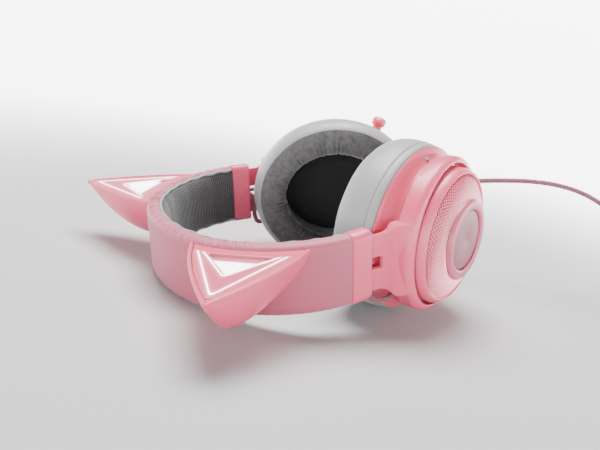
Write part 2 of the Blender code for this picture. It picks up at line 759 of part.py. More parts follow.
def ear_loft():
    """The ear's back shell: an outer and an inner skin, joined at the rim, the root and the tip."""
    outer_rows = [EAR_ROOT, 0.0, 0.16, 0.32, 0.48, 0.62, 0.75, 0.86, 0.94, 1.0]
    inner_rows = [EAR_ROOT, 0.0, 0.16, 0.32, 0.48, 0.62, 0.72, 0.79, 0.84, 0.87]
    outer = [point for height in outer_rows for point in ear_section(height, 0.0)]
    inner = [point for height in inner_rows for point in ear_section(height, EAR_WALL)]
    rows = len(outer_rows)
    count = len(outer) // rows
    skin = rows * count
    last = (rows - 1) * count
    faces = []
    for row in range(rows - 1):
        here = row * count
        there = here + count
        for index in range(count - 1):
            faces.append((here + index, here + index + 1, there + index + 1, there + index))
            faces.append((skin + here + index, skin + there + index, skin + there + index + 1,
                          skin + here + index + 1))
        for edge in (0, count - 1):
            faces.append((here + edge, there + edge, skin + there + edge, skin + here + edge))
    for index in range(count - 1):
        faces.append((index, skin + index, skin + index + 1, index + 1))
    faces.append(tuple(range(last, last + count)))
    faces.append(tuple(range(skin + last, skin + last + count)))
    faces.append((last, last + count - 1, skin + last + count - 1, skin + last))
    return mesh_from(outer + inner, faces)


def ear_half_at(height, depth, wall):
    """Half the ear's inner width at a depth behind its face."""
    rise = (depth / ear_depth(height, wall)) ** (2 / EAR_SQUARE)
    return ear_half(height, wall) * (1 - rise) ** (EAR_SQUARE / 2)


def ear_outline(wall, depth, root, top):
    """The outline of a plate that fits inside the ear down to a depth behind its face."""
    heights = [root + (top - root) * step / 8 for step in range(9)]
    right = [(ear_half_at(height, depth, wall), height * EAR_TALL) for height in heights]
    return right + [(-u, v) for u, v in reversed(right)]


def make_ear(name, side, root):
    """One ear: back shell, lit face plate, light guide and the small light board behind it."""
    frame = ear_frame(side)
    start, end = sorted((side * 2.0, side * 92.0))
    band_shape = band_sweep([(-GAP, 30.0), (30.0, 30.0), (30.0, -30.0), (-GAP, -30.0)], start, end)
    shell = node("ear_shell_" + name, moved(ear_loft(), frame), pink(), root)
    cut(shell, band_shape)

    guide_at = FACE_SUNK + FACE_THICK + GAP
    plates = (("ear_face_", FACE_SUNK, FACE_THICK, pink()),
              ("ear_light_guide_", guide_at, GUIDE_THICK, glow()),
              ("ear_light_board_", guide_at + GUIDE_THICK + GAP, BOARD_THICK, board_green()))
    for label, depth, thick, finish in plates:
        outline = ear_outline(EAR_WALL + 2 * GAP, depth + thick, EAR_ROOT, 0.82)
        mesh = prism(outline, -depth - thick, -depth, lambda u, v, w: (u, v, w))
        plate = node(label + name, moved(mesh, frame), finish, root)
        if label == "ear_face_":
            cut(plate, moved(light_slot(), frame))
            cut(plate, moved(light_window(), frame))
        cut(plate, band_shape.copy())


def light_slot():
    """The V-shaped slot of the outer light strip."""
    outer = [(21.6, 8.0), (1.0, 51.0 - 6.0), (-1.0, 51.0 - 6.0), (-22.6, 7.0)]
    inner = [(-21.0, 7.6), (-0.4, 43.0), (0.4, 43.0), (20.2, 8.4)]
    return prism(outer + inner, -4.0, 2.0, lambda u, v, w: (u, v, w))


def light_window():
    """The three-sided window in the middle of the ear's face."""
    outline = [(15.5, 10.5), (1.4, 30.4), (-1.4, 30.4), (-16.0, 10.5)]
    return prism(outline, -4.0, 2.0, lambda u, v, w: (u, v, w))


def smooth_route(points, spacing):
    """Points a set distance apart along one smooth curve through the route's own points."""
    ends = [2 * points[0] - points[1]] + points + [2 * points[-1] - points[-2]]
    fine = []
    for index in range(1, len(ends) - 2):
        a, b, c, d = ends[index - 1:index + 3]
        for step in range(24):
            t = step / 24
            fine.append(0.5 * (2 * b + (c - a) * t + (2 * a - 5 * b + 4 * c - d) * t ** 2
                               + (3 * b - a - 3 * c + d) * t ** 3))
    fine.append(points[-1])
    picked = [fine[0]]
    walked = 0.0
    for here, there in zip(fine, fine[1:]):
        walked += (there - here).length
        if walked >= spacing:
            picked.append(there)
            walked = 0.0
    if (picked[-1] - fine[-1]).length < spacing * 0.5:
        picked.pop()
    return picked + [fine[-1]]


def tube(name, points, radius, finish, parent, spacing):
    """A round cord as a curve with filled ends; the points are in millimetres."""
    curve = bpy.data.curves.new(name, "CURVE")
    curve.dimensions = "3D"
    curve.bevel_depth = radius * MM
    curve.bevel_resolution = 2
    curve.use_fill_caps = True
    route = smooth_route([Vector(point) for point in points], spacing)
    spline = curve.splines.new("POLY")
    spline.points.add(len(route) - 1)
    for point, place in zip(spline.points, route):
        point.co = (*(place * MM), 1.0)
    curve.materials.append(finish)
    made = bpy.data.objects.new(name, curve)
    bpy.context.scene.collection.objects.link(made)
    made.parent = parent
    return made


def make_loop(name, side, root):
    """The short cable from the end cap to the cup, slack enough for the slider's travel."""
    cap_x = band_point(BAND_END, BAND_THICK, 0.0)[0]
    route = [(cap_x + 1.4, 66.0, -3.0), (cap_x + 2.9, 66.0, -5.5), (cap_x + 2.9, 66.0, -11.0),
             (cap_x + 3.3, 66.2, -17.5), (-49.8, 67.0, -21.8), (-44.6, 67.8, -23.2), (-40.2, 66.8, -23.8),
             (-37.2, 65.6, -24.0)]
    route = [(x, side * y, z) for x, y, z in route]
    tube("cable_loop_" + name, route, LOOP_R, braid(), root, 2.6)


def make_usb_cable(cup):
    """The cable's free stretch, from the strain relief to the coil, in world millimetres."""
    bpy.context.view_layer.update()
    start = cup.matrix_world @ (Vector((CABLE_EXIT_X + GAP, GLAND_S, 0.0)) * MM) / MM
    route = [start, (112.0, 14.6, 63.1), (129.6, 5.3, 67.0), (147.2, -4.0, 70.8), (164.8, -13.3, 73.6),
             (182.2, -22.6, 74.2), (199.2, -31.7, 71.4), (215.0, -40.2, 64.6), (228.8, -48.2, 54.0),
             (239.8, -56.4, 41.6), (247.6, -65.4, 30.0), (252.4, -75.4, 21.0), (254.8, -86.0, 15.6),
             (254.6, -96.6, 13.4), (252.2, -106.0, 12.8), (249.0, -112.4, 12.8)]
    tube("usb_cable", route, CABLE_R, braid(), None, 6.0)


def make_coil():
    """The stored length as one turned ring, with the tie round it."""
    low = COIL_LIFT
    high = COIL_LIFT + COIL_HIGH
    inner = COIL_TURN_R - COIL_WIDE / 2
    outer = COIL_TURN_R + COIL_WIDE / 2
    bevel = CABLE_R
    section = [(inner, low + bevel), (inner + bevel, low), (outer - bevel, low), (outer, low + bevel),
               (outer, high - bevel), (outer - bevel, high), (inner + bevel, high), (inner, high - bevel)]
    upright = Matrix.Translation((COIL_X, COIL_Y, 0)) @ Matrix.Rotation(radians(90.0), 4, "X")
    node("cable_coil", moved(ring_solid(round_profile(section), 1, 28), upright), braid(), None)

    strap = tie_strap(inner - TIE_SLACK, outer + TIE_SLACK, low - GAP, high + GAP)
    node("cable_tie", strap, tie_black(), None)


def tie_strap(inner, outer, low, high):
    """A closed strap round one side of the coil, TIE_WIDE across and TIE_THICK thick."""
    thick = TIE_THICK
    inside = [(inner, low), (outer, low), (outer, high), (inner, high)]
    outside = [(inner - thick, low - thick), (outer + thick, low - thick), (outer + thick, high + thick),
               (inner - thick, high + thick)]
    points = [(COIL_X - reach, COIL_Y + across, z) for across in (-TIE_WIDE / 2, TIE_WIDE / 2)
              for loop in (inside, outside) for reach, z in loop]
    faces = []
    for index in range(4):
        after = (index + 1) % 4
        faces += [(index, after, after + 8, index + 8), (index + 4, index + 12, after + 12, after + 4),
                  (index, index + 4, after + 4, after), (index + 8, after + 8, after + 12, index + 12)]
    return mesh_from(points, faces)


def make_plug_end():
    """The USB plug beside the coil: moulded body with its neck, metal shell and tongue."""
    outer = COIL_TURN_R + COIL_WIDE / 2
    reach = outer - CABLE_R
    neck_r = CABLE_R + 1.2
    back = COIL_X - sqrt((outer + GAP) ** 2 - (reach - neck_r) ** 2)
    middle = COIL_Y - reach
    height = PLUG_HIGH / 2 + GAP
    neck = back - PLUG_NECK
    front = neck - PLUG_LONG
    grip = node("plug_body", rod((back, middle, height), (neck - 1.0, middle, height), neck_r),
                black_rubber(), None)
    half = PLUG_WIDE / 2
    tall = PLUG_HIGH / 2
    add(grip, box((front, middle - half, height - tall), (neck, middle + half, height + tall)))
    wide = SHELL_WIDE / 2
    deep = SHELL_HIGH / 2
    seat = 6.0
    cut(grip, box((front - 1, middle - wide - GAP, height - deep - GAP),
                  (front + seat + GAP, middle + wide + GAP, height + deep + GAP)))
    shell = node("plug_shell", box((front - SHELL_LONG, middle - wide, height - deep),
                                   (front + seat, middle + wide, height + deep)), steel(), None)
    cut(shell, box((front - SHELL_LONG - 1, middle - wide + SHELL_WALL, height - deep + SHELL_WALL),
                   (front + seat - SHELL_WALL, middle + wide - SHELL_WALL, height + deep - SHELL_WALL)))
    tongue_wide = wide - SHELL_WALL - GAP
    tongue_top = height + deep - SHELL_WALL - GAP
    node("plug_tongue", box((front - SHELL_LONG + 1.0, middle - tongue_wide, tongue_top - 1.8),
                            (front + seat - SHELL_WALL - GAP, middle + tongue_wide, tongue_top)),
         material("tongue_white", (0.7, 0.7, 0.7), 0.5), None)


def rest_tilt():
    """How far the headset tips so that the crown's edge and both cushions lie on the table."""
    toe = radians(YOKE_TOE)
    middle = CUSHION_FACE + 9.0
    reach = CUSHION_X * cos(toe)
    low, high = 0.0, radians(30.0)
    for _ in range(40):
        tilt = (low + high) / 2
        band = CROWN_X * sin(tilt) - BAND_HALF * cos(tilt)
        cushion = middle * sin(toe) * sin(tilt) - hypot(reach * sin(tilt), CUSHION_Z * cos(tilt))
        if band > cushion:
            low = tilt
        else:
            high = tilt
    return tilt


def settle(root):
    """Moves the headset so that its box stands on z = 0, centred on the origin."""
    bpy.context.view_layer.update()
    corners = [made.matrix_world @ vertex.co for made in bpy.data.objects
               if made.type == "MESH" and not made.hide_render for vertex in made.data.vertices]
    lows = [min(corner[axis] for corner in corners) for axis in range(3)]
    highs = [max(corner[axis] for corner in corners) for axis in range(3)]
    root.location = (-(lows[0] + highs[0]) / 2, -(lows[1] + highs[1]) / 2, -lows[2])
    bpy.context.view_layer.update()


def main():
    clear_scene()
    root = empty("headset", None, Matrix.Rotation(-rest_tilt(), 4, "Y"))
    make_headband(root)
    for name, side in SIDES.items():
        make_end_cap(name, side, root)
        make_ear(name, side, root)
        make_loop(name, side, root)
        slider = empty("slider_" + name, root, toe_matrix(side, YOKE_TOE, YOKE_Y))
        make_yoke(name, side, slider)
        make_pivots(name, side, slider)
        pivot = Matrix.Translation((0, side * PIVOT_S * MM, 0))
        lean = Matrix.Rotation(radians(side * CUP_LEAN[name]), 4, "Z")
        hinge = empty("cup_pivot_" + name, slider, pivot @ lean)
        cup = empty("cup_" + name, hinge, pivot.inverted())
        make_housing(name, side, cup)
        make_cup_front(name, side, cup)
        make_cup_back(name, side, cup)
        make_plug(name, side, cup)
        if side > 0:
            mic = empty("mic_slide", cup, Matrix.Identity(4))
            make_microphone(cup, mic)
            wheel_frame = empty("wheel_axis", cup, Matrix.Translation(wheel_place()[0] * MM))
            button_frame = empty("button_slide", cup, Matrix.Translation(button_place()[0] * MM))
            make_controls(cup, wheel_frame, button_frame)
            make_gland(cup)
    settle(root)
    make_usb_cable(bpy.data.objects["cup_left"])
    make_coil()
    make_plug_end()


main()
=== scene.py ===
"""The looks of a cat-ear gaming headset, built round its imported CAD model.

Lengths in the making functions are millimetres in a local frame; each finished mesh is baked into
world metres. The headset's own frame has +X down the wearer's head, +Y to the wearer's left and
+Z to the wearer's front.
"""

from math import cos, exp, pi, radians, sin, sqrt

import bmesh
import bpy
import numpy as np
from mathutils import Matrix, Vector


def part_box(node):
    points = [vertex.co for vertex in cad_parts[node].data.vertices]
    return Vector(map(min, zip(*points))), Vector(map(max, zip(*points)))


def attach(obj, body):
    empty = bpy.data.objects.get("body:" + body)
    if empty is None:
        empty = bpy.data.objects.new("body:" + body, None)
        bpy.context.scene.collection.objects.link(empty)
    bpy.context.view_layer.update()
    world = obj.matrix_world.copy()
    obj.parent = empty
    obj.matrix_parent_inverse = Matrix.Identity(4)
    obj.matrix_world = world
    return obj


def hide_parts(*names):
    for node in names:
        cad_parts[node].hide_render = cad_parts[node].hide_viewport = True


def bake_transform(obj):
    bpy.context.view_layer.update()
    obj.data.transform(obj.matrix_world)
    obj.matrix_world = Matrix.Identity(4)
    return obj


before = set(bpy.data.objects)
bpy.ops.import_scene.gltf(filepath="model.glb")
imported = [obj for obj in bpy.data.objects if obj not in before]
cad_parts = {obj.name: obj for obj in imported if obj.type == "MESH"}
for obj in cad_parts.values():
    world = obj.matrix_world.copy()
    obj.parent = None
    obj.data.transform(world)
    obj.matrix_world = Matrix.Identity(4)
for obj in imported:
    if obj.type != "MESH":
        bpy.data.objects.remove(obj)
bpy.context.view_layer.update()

MM = 0.001
SIDES = {"left": 1, "right": -1}

# The headset as it lies on the table.
REST_TILT = 12.981
REST_PLACE = (50.674, 0.0, 48.794)
YOKE_TOE = 26.8
FACE_TURN = -1.8
YOKE_Y = 52.0
PIVOT_S = 2.5
PIN_R = 1.8
CUP_LEAN = {"left": -0.5, "right": 3.0}

# Headband.
CROWN_X = -139.4
BAND_ARCS = ((0.0, 20.9, 87.0), (20.9, 37.7, 60.5), (37.7, 180.0, 70.5))
BAND_SEAM = 92.4
BAND_END = 102.8
BAND_THICK = 7.5
BAND_HALF = 18.5
ARC_STEP = 1.28
PAD_BASE = 7.1
PAD_EDGE = 1.7
ARM_OUT = 70.3
ARM_THICK = 2.0
ARM_HALF = 14.7
ARM_TOP_X = -83.0
SLOT_HALF = 3.2
SLOT_TOP_X = -79.0
SLOT_END_X = -46.5

# Yoke ring and cup.
RING_X = 46.0
RING_Z = 42.5
RING_BACK = -1.4
RING_FRONT = 8.3
LIP_R = 39.6
RING_WALL_X = 3.0
RING_WALL_Z = 2.3
FLANGE_X = 51.0
FLANGE_Z = 45.4
FLANGE_S = -9.6
THROAT_X = 38.2
THROAT_Z = 37.4
THROAT_TOP = 9.0
CUSHION_FACE = -33.6
EAR_HOLE_X = 31.5
EAR_HOLE_Z = 26.8
CUP_SEAT = -11.6
MESH_R = 34.4
MESH_S = 14.2
DISC_R = 22.3
DISC_S = 21.2
DISC_RECESS_R = 16.4
DOME_RISE = 5.1
LATTICE_AROUND = 84
LATTICE_ROWS = 7
LATTICE_HOLE = 0.66
LATTICE_BAR = 0.5

# Microphone and controls, in the left cup.
MIC_X = 29.0
MIC_Z = 38.0
MIC_S = -5.0
MIC_SLOPE = 20.0
MIC_OUT = 1.6
MIC_TIP_R = 4.5
MIC_RING_LONG = 2.0
MIC_BOOM_R = 2.8
MIC_BOOM_END = -61.0
CONTROL_S = -5.3
WHEEL_TURN = 62.0
WHEEL_R = 7.6
BUTTON_TURN = 35.0

# Ears.
EAR_X = -111.5
EAR_Y = 53.6
EAR_FRONT = 16.5
EAR_LEAN = 47.9
EAR_HALF = 27.3
EAR_TALL = 56.8
EAR_DEEP = 28.6
EAR_TIP = 1.5
EAR_BULGE = 0.118
EAR_ROOT = -0.22
EAR_SQUARE = 1.43
EAR_FACE_TOP = 0.938
EAR_FACE_EDGE = 2.15

# Cables.
CABLE_R = 1.6
LOOP_R = 1.5
GLAND_END = (98.878, 21.496, 60.063)
COIL_X = 226.0
COIL_Y = -104.0
COIL_COLUMNS = (16.3, 19.6, 22.9)
COIL_LEVELS = (9.5, 6.2, 2.9)
COIL_PITCH = 3.3
COIL_TOP = 12.8
COIL_ENTRY_R = 24.5
ROUTE_STEPS = 24
PLUG_Z = 4.1

# Camera.
CAMERA_PLACE = (-203.36, -317.92, 131.5)
CAMERA_FORWARD = (0.5188, 0.8178, -0.2492)
CAMERA_RIGHT = (0.8546, -0.4886, 0.1756)
CAMERA_LENS = 40.30

# Paper sheet under the headset, in metres.
PAPER_FLAT = 1.5
PAPER_CURL = 0.6


# ---------------------------------------------------------------- frames


def head_frame():
    return Matrix.Translation(REST_PLACE) @ Matrix.Rotation(radians(-REST_TILT), 4, "Y")


def yoke_frame(side):
    """The yoke's frame: its Y is the cup's axis, leaning in at the wearer's chin."""
    toe = Matrix.Rotation(radians(-side * YOKE_TOE), 4, "Z")
    turn = Matrix.Rotation(radians(side * FACE_TURN), 4, "X")
    return head_frame() @ Matrix.Translation((0, side * YOKE_Y, 0)) @ (toe @ turn)


def cup_frame(name, side):
    pivot = Matrix.Translation((0, side * PIVOT_S, 0))
    lean = Matrix.Rotation(radians(side * CUP_LEAN[name]), 4, "Z")
    return yoke_frame(side) @ pivot @ lean @ pivot.inverted()


def ear_frame(side):
    """The ear's frame: X along its root, Y to its tip, Z out of its face."""
    lean = radians(EAR_LEAN)
    tip = Vector((-cos(lean), side * sin(lean), 0))
    wide = Vector((sin(lean), side * cos(lean), 0))
    turn = Matrix((wide, tip, (0, 0, 1))).transposed().to_4x4()
    return head_frame() @ Matrix.Translation((EAR_X, side * EAR_Y, EAR_FRONT)) @ turn


# ---------------------------------------------------------------- shader writing


class Value:
    """One output socket, with Python's operators on it as Math nodes."""

    def __init__(self, tree, socket):
        self.tree = tree
        self.socket = socket

    def maths(self, operation, *others):
        settings = {"operation": operation}
        return self.tree.make("ShaderNodeMath", settings, {i: v for i, v in enumerate((self, *others))})

    def __add__(self, other):
        return self.maths("ADD", other)

    def __sub__(self, other):
        return self.maths("SUBTRACT", other)

    def __mul__(self, other):
        return self.maths("MULTIPLY", other)

    __rmul__ = __mul__

    def step(self, low, high):
        """0 below low, 1 above high, smooth between."""
        inputs = {"Value": self, "From Min": low, "From Max": high}
        return self.tree.make("ShaderNodeMapRange", {"interpolation_type": "SMOOTHSTEP"}, inputs)

    def clamp(self):
        return self.tree.make("ShaderNodeClamp", {}, {"Value": self})


class Finish:
    """A material under construction: its tree, its shader and the ways to add nodes."""

    def __init__(self, name, roughness=0.5, **sockets):
        self.material = bpy.data.materials.new(name)
        self.material.use_nodes = True
        self.tree = self.material.node_tree
        self.shader = self.tree.nodes["Principled BSDF"]
        self.put("Roughness", roughness)
        for socket, value in sockets.items():
            self.put(socket.replace("_", " "), value)

    def put(self, socket, value):
        """Sets or links one input of the shader."""
        self.join(self.shader.inputs[socket], value)

    def join(self, socket, value):
        if isinstance(value, Value):
            self.tree.links.new(value.socket, socket)
        elif isinstance(value, tuple) and len(socket.default_value) == 4:
            socket.default_value = (*value, 1.0)
        else:
            socket.default_value = value

    def make(self, kind, settings, inputs, output=0):
        """Adds a node: its settings first, then its inputs; returns one output."""
        node = self.tree.nodes.new(kind)
        for name, value in settings.items():
            setattr(node, name, value)
        for key, value in inputs.items():
            self.join(node.inputs[key], value)
        return Value(self, node.outputs[output])

    def place(self):
        return self.make("ShaderNodeTexCoord", {}, {}, "Object")

    def along(self):
        """The piece's own UV map, in millimetres."""
        return self.make("ShaderNodeUVMap", {}, {})

    def parts(self, vector):
        split = self.make("ShaderNodeSeparateXYZ", {}, {0: vector})
        node = split.socket.node
        return [Value(self, node.outputs[index]) for index in range(3)]

    def noise(self, vector, scale, detail=3.0, roughness=0.55):
        inputs = {"Vector": vector, "Scale": scale, "Detail": detail, "Roughness": roughness}
        return self.make("ShaderNodeTexNoise", {}, inputs)

    def cells(self, vector, scale, feature="F1"):
        return self.make("ShaderNodeTexVoronoi", {"feature": feature}, {"Vector": vector, "Scale": scale})

    def attribute(self, name):
        return self.make("ShaderNodeAttribute", {"attribute_name": name}, {}, "Fac")

    def blend(self, share, low, high):
        """Mixes two colours."""
        inputs = {0: share, 6: low, 7: high}
        return self.make("ShaderNodeMix", {"data_type": "RGBA"}, inputs, 2)

    def bump(self, height, strength, distance):
        inputs = {"Height": height, "Strength": strength, "Distance": distance}
        self.put("Normal", self.make("ShaderNodeBump", {}, inputs))


# ---------------------------------------------------------------- finishes

PINK = (0.71, 0.085, 0.160)
PINK_DEEP = (0.55, 0.06, 0.12)


def satin_pink(name="satin_pink", colour=PINK, deep=PINK_DEEP):
    """Painted satin plastic: a faint cloudiness and a fine orange-peel."""
    made = Finish(name, 0.36, Coat_Weight=0.12, Coat_Roughness=0.25)
    place = made.place()
    cloud = made.noise(place, 60.0, 2.0)
    made.put("Base Color", made.blend(cloud.step(0.3, 0.8) * 0.12, colour, deep))
    made.put("Roughness", made.noise(place, 900.0, 2.0) * 0.10 + 0.32)
    made.bump(made.noise(place, 2600.0, 2.0), 0.05, 0.0002)
    return made.material


def pink_leatherette():
    """Matt leatherette with a fine pebbled grain, a little greyer than the plastic."""
    made = Finish("pink_leatherette", 0.55, Sheen_Weight=0.25, Sheen_Roughness=0.5)
    place = made.place()
    grain = made.cells(place, 1500.0)
    fine = made.noise(place, 3200.0, 3.0)
    wear = made.noise(place, 45.0, 3.0)
    base = made.blend(wear.step(0.35, 0.75) * 0.25, (0.43, 0.080, 0.135), (0.36, 0.062, 0.108))
    made.put("Base Color", made.blend(grain.step(0.35, 0.6) * 0.18, base, (0.30, 0.05, 0.085)))
    made.put("Roughness", fine * 0.16 + 0.46)
    made.bump(grain * -0.6 + fine * 0.5, 0.22, 0.0003)
    return made.material


def knitted_mesh():
    """Dark grey sports mesh: crossed diagonal yarns with small dark pores between them."""
    made = Finish("knitted_mesh", 0.85, Sheen_Weight=0.3)
    u, v, _ = made.parts(made.along())
    first = ((u + v) * 2.2).maths("SINE")
    second = ((u - v) * 2.2).maths("SINE")
    yarn = (first * second * 0.5 + 0.5).step(0.15, 0.8)
    fibre = made.noise(made.along(), 9.0, 2.0)
    made.put("Base Color", made.blend(yarn * (fibre * 0.5 + 0.6), (0.006, 0.006, 0.006),
                                      (0.095, 0.090, 0.093)))
    made.bump(yarn + fibre * 0.2, 0.6, 0.0004)
    return made.material


def light_leatherette(name="light_grey_leatherette", base=(0.26, 0.26, 0.265), deep=(0.20, 0.20, 0.205)):
    """Smooth protein leather with the finest grain and a soft sheen."""
    made = Finish(name, 0.45, Sheen_Weight=0.15)
    place = made.place()
    grain = made.cells(place, 1900.0)
    creases = made.noise(place, 130.0, 5.0, 0.6)
    made.put("Base Color", made.blend(creases.step(0.55, 0.8) * 0.35, base, deep))
    made.put("Roughness", creases * 0.2 + 0.36)
    made.bump(grain * -0.35 + creases * 0.6, 0.16, 0.0004)
    return made.material


def heather_fabric():
    """Soft mottled grey cloth on the cushion's face, with painted shade in its creases and towards the ear
    hole.
    """
    made = Finish("heather_fabric", 0.9, Sheen_Weight=0.4)
    place = made.place()
    fold = made.attribute("fold")
    fibre = made.noise(place, 1800.0, 4.0, 0.7)
    mottle = made.noise(place, 320.0, 3.0, 0.7)
    shade = (mottle * 0.6 + fibre * 0.4).step(0.3, 0.7)
    cloth = made.blend(shade, (0.065, 0.060, 0.064), (0.135, 0.127, 0.132))
    # painted shade: the cloth is darkened in the creases of the gathers and towards the ear hole
    made.put("Base Color", made.blend(fold.clamp() * 0.8, cloth, (0.022, 0.020, 0.022)))
    made.bump(fibre + mottle * 0.6, 0.35, 0.0003)
    return made.material


def driver_cloth_finish():
    """Black acoustic cloth with a fine plain weave."""
    made = Finish("black_acoustic_cloth", 0.92)
    x, _, z = made.parts(made.place())
    weave = (x * 5200.0).maths("SINE") * (z * 5200.0).maths("SINE") * 0.5 + 0.5
    made.put("Base Color", made.blend(weave, (0.004, 0.004, 0.004), (0.020, 0.020, 0.021)))
    made.bump(weave, 0.5, 0.0002)
    return made.material


def braided_sleeve(name="pink_braid", light=(0.34, 0.10, 0.14), dark=(0.10, 0.025, 0.038)):
    """Braided sleeve: two crossing families of strands round the cord."""
    made = Finish(name, 0.75, Sheen_Weight=0.2)
    u, v, _ = made.parts(made.along())
    first = ((u + v) * 3.6).maths("SINE")
    second = ((u - v) * 3.6).maths("SINE")
    strand = (first * 0.5 + 0.5).maths("MAXIMUM", second * 0.5 + 0.5)
    gap = (first * second * 0.5 + 0.5).step(0.1, 0.75)
    made.put("Base Color", made.blend(gap, dark, light))
    made.bump(strand * gap, 0.7, 0.0005)
    return made.material


def plain_plastic(name, colour, roughness=0.5, grain=1600.0):
    """Moulded plastic or rubber with a spark-eroded grain."""
    made = Finish(name, roughness)
    place = made.place()
    speck = made.noise(place, grain, 3.0)
    darker = tuple(0.75 * part for part in colour)
    made.put("Base Color", made.blend(speck.step(0.4, 0.7) * 0.3, colour, darker))
    made.put("Roughness", speck * 0.14 + (roughness - 0.07))
    made.bump(speck, 0.12, 0.0002)
    return made.material


def metal(name, colour=(0.60, 0.60, 0.62), roughness=0.28):
    """Brushed spring steel."""
    made = Finish(name, roughness, Metallic=1.0)
    place = made.place()
    brush = made.noise(place, 700.0, 4.0, 0.8)
    made.put("Base Color", made.blend(brush * 0.3, colour, (0.36, 0.36, 0.38)))
    made.put("Roughness", brush * 0.2 + (roughness - 0.08))
    return made.material


def circuit_board():
    """Green solder mask with faint tracks."""
    made = Finish("circuit_board", 0.35)
    track = made.cells(made.place(), 420.0, "DISTANCE_TO_EDGE")
    made.put("Base Color", made.blend(track.step(0.02, 0.07), (0.05, 0.26, 0.13), (0.015, 0.10, 0.05)))
    return made.material


def lit(name, colour, glow, strength):
    """A light guide that glows evenly, with a slight mottling."""
    made = Finish(name, 0.35, Emission_Strength=strength)
    cloud = made.noise(made.place(), 300.0, 2.0)
    made.put("Base Color", made.blend(cloud * 0.1, colour, glow))
    made.put("Emission Color", made.blend(cloud * 0.08, glow, colour))
    return made.material


def grille_finish():
    """The lit lattice: pink by its rim and towards the crown, almost white by the disc."""
    made = Finish("grille_pink", 0.4, Emission_Strength=0.9)
    white = made.attribute("white").clamp()
    speck = made.noise(made.place(), 900.0, 2.0) * 0.12
    tint = made.blend(white * 0.8, (0.80, 0.16, 0.23), (0.95, 0.62, 0.68))
    made.put("Base Color", made.blend(speck, tint, PINK_DEEP))
    made.put("Emission Color", made.blend(white, (0.0, 0.0, 0.0), (1.0, 0.62, 0.68)))
    return made.material


def diffuser_finish():
    """The milky sheet behind the lattice: dark in its unlit part and glowing where it is lit."""
    made = Finish("diffuser", 0.5, Emission_Strength=4.0)
    white = made.attribute("white").clamp()
    cloud = made.noise(made.place(), 260.0, 2.0) * 0.15
    tint = made.blend(white, (0.42, 0.06, 0.10), (0.98, 0.93, 0.94))
    made.put("Base Color", made.blend(cloud, tint, (0.8, 0.5, 0.55)))
    made.put("Emission Color", made.blend(white, (0.0, 0.0, 0.0), (1.0, 0.88, 0.90)))
    return made.material


# ---------------------------------------------------------------- mesh making


def softened(points, radius, steps=4, closed=True):
    """The same outline with each corner turned into a short curve."""
    points = [np.array(point, float) for point in points]
    count = len(points)
    result = []
    for index, corner in enumerate(points):
        if not closed and index in (0, count - 1):
            result.append(corner)
            continue
        before = points[index - 1] - corner
        after = points[(index + 1) % count] - corner
        size_before, size_after = np.linalg.norm(before), np.linalg.norm(after)
        start = corner + before * min(radius / size_before, 0.45)
        end = corner + after * min(radius / size_after, 0.45)
        for step in range(steps + 1):
            t = step / steps
            result.append(start * (1 - t) ** 2 + corner * 2 * t * (1 - t) + end * t ** 2)
    return result


def lengths(points, closed):
    """Running distance along a row of points, averaged over the other direction."""
    following = np.roll(points, -1, axis=0) if closed else points[1:]
    here = points if closed else points[:-1]
    steps = np.linalg.norm(following - here, axis=2).mean(axis=1)
    return np.concatenate([[0.0], np.cumsum(steps)])


def skin(name, grid, matrix, finish, close_rows=False, close_columns=False, caps=False, marks=None,
         smooth=45.0,
         chart=None):
    """A mesh over a grid of points in millimetres, with its own UV map in millimetres."""
    grid = np.array(grid, float)
    rows, columns = grid.shape[:2]
    down = lengths(grid, close_rows)
    across = lengths(grid.transpose(1, 0, 2), close_columns)
    row_steps = rows if close_rows else rows - 1
    column_steps = columns if close_columns else columns - 1
    faces, uvs = [], []
    for i in range(row_steps):
        k = (i + 1) % rows
        for j in range(column_steps):
            m = (j + 1) % columns
            faces.append((i * columns + j, i * columns + m, k * columns + m, k * columns + j))
            if chart is not None:
                uvs += [chart[i][j], chart[i][m], chart[k][m], chart[k][j]]
                continue
            uvs += [(down[i], across[j]), (down[i], across[j + 1]), (down[i + 1], across[j + 1]),
                    (down[i + 1], across[j])]
    if caps:
        first = list(range(columns))
        last = list(range((rows - 1) * columns, rows * columns))[::-1]
        for ring in (first, last):
            faces.append(tuple(ring))
            uvs += [(grid[index // columns, index % columns, 0], grid[index // columns, index % columns, 2])
                    for index in ring]
    points = grid.reshape(-1, 3) @ np.array(matrix.to_3x3()).T + np.array(matrix.translation)
    mesh = bpy.data.meshes.new(name)
    mesh.from_pydata((points * MM).tolist(), [], faces)
    layer = mesh.uv_layers.new(name="UVMap")
    layer.data.foreach_set("uv", np.array(uvs, float).ravel())
    for label, values in (marks or {}).items():
        kept = mesh.attributes.new(label, "FLOAT", "POINT")
        kept.data.foreach_set("value", np.array(values, float).ravel())
    mesh.materials.append(finish)
    face_out(mesh)
    mesh.shade_smooth()
    mesh.set_sharp_from_angle(angle=radians(smooth))
    made = bpy.data.objects.new(name, mesh)
    bpy.context.scene.collection.objects.link(made)
    return made


def face_out(mesh):
    """Turns every face of a closed mesh outwards."""
    work = bmesh.new()
    work.from_mesh(mesh)
    bmesh.ops.recalc_face_normals(work, faces=work.faces)
    work.to_mesh(mesh)
    work.free()


def fit(piece, body, *nodes):
    """The piece rides on a body and stands for the CAD nodes named."""
    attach(piece, body)
    if nodes:
        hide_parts(*nodes)
    return piece


def repaint(finish, *names):
    """Gives CAD nodes that show one material slot each."""
    for name in names:
        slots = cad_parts[name].data.materials
        slots.clear()
        slots.append(finish)


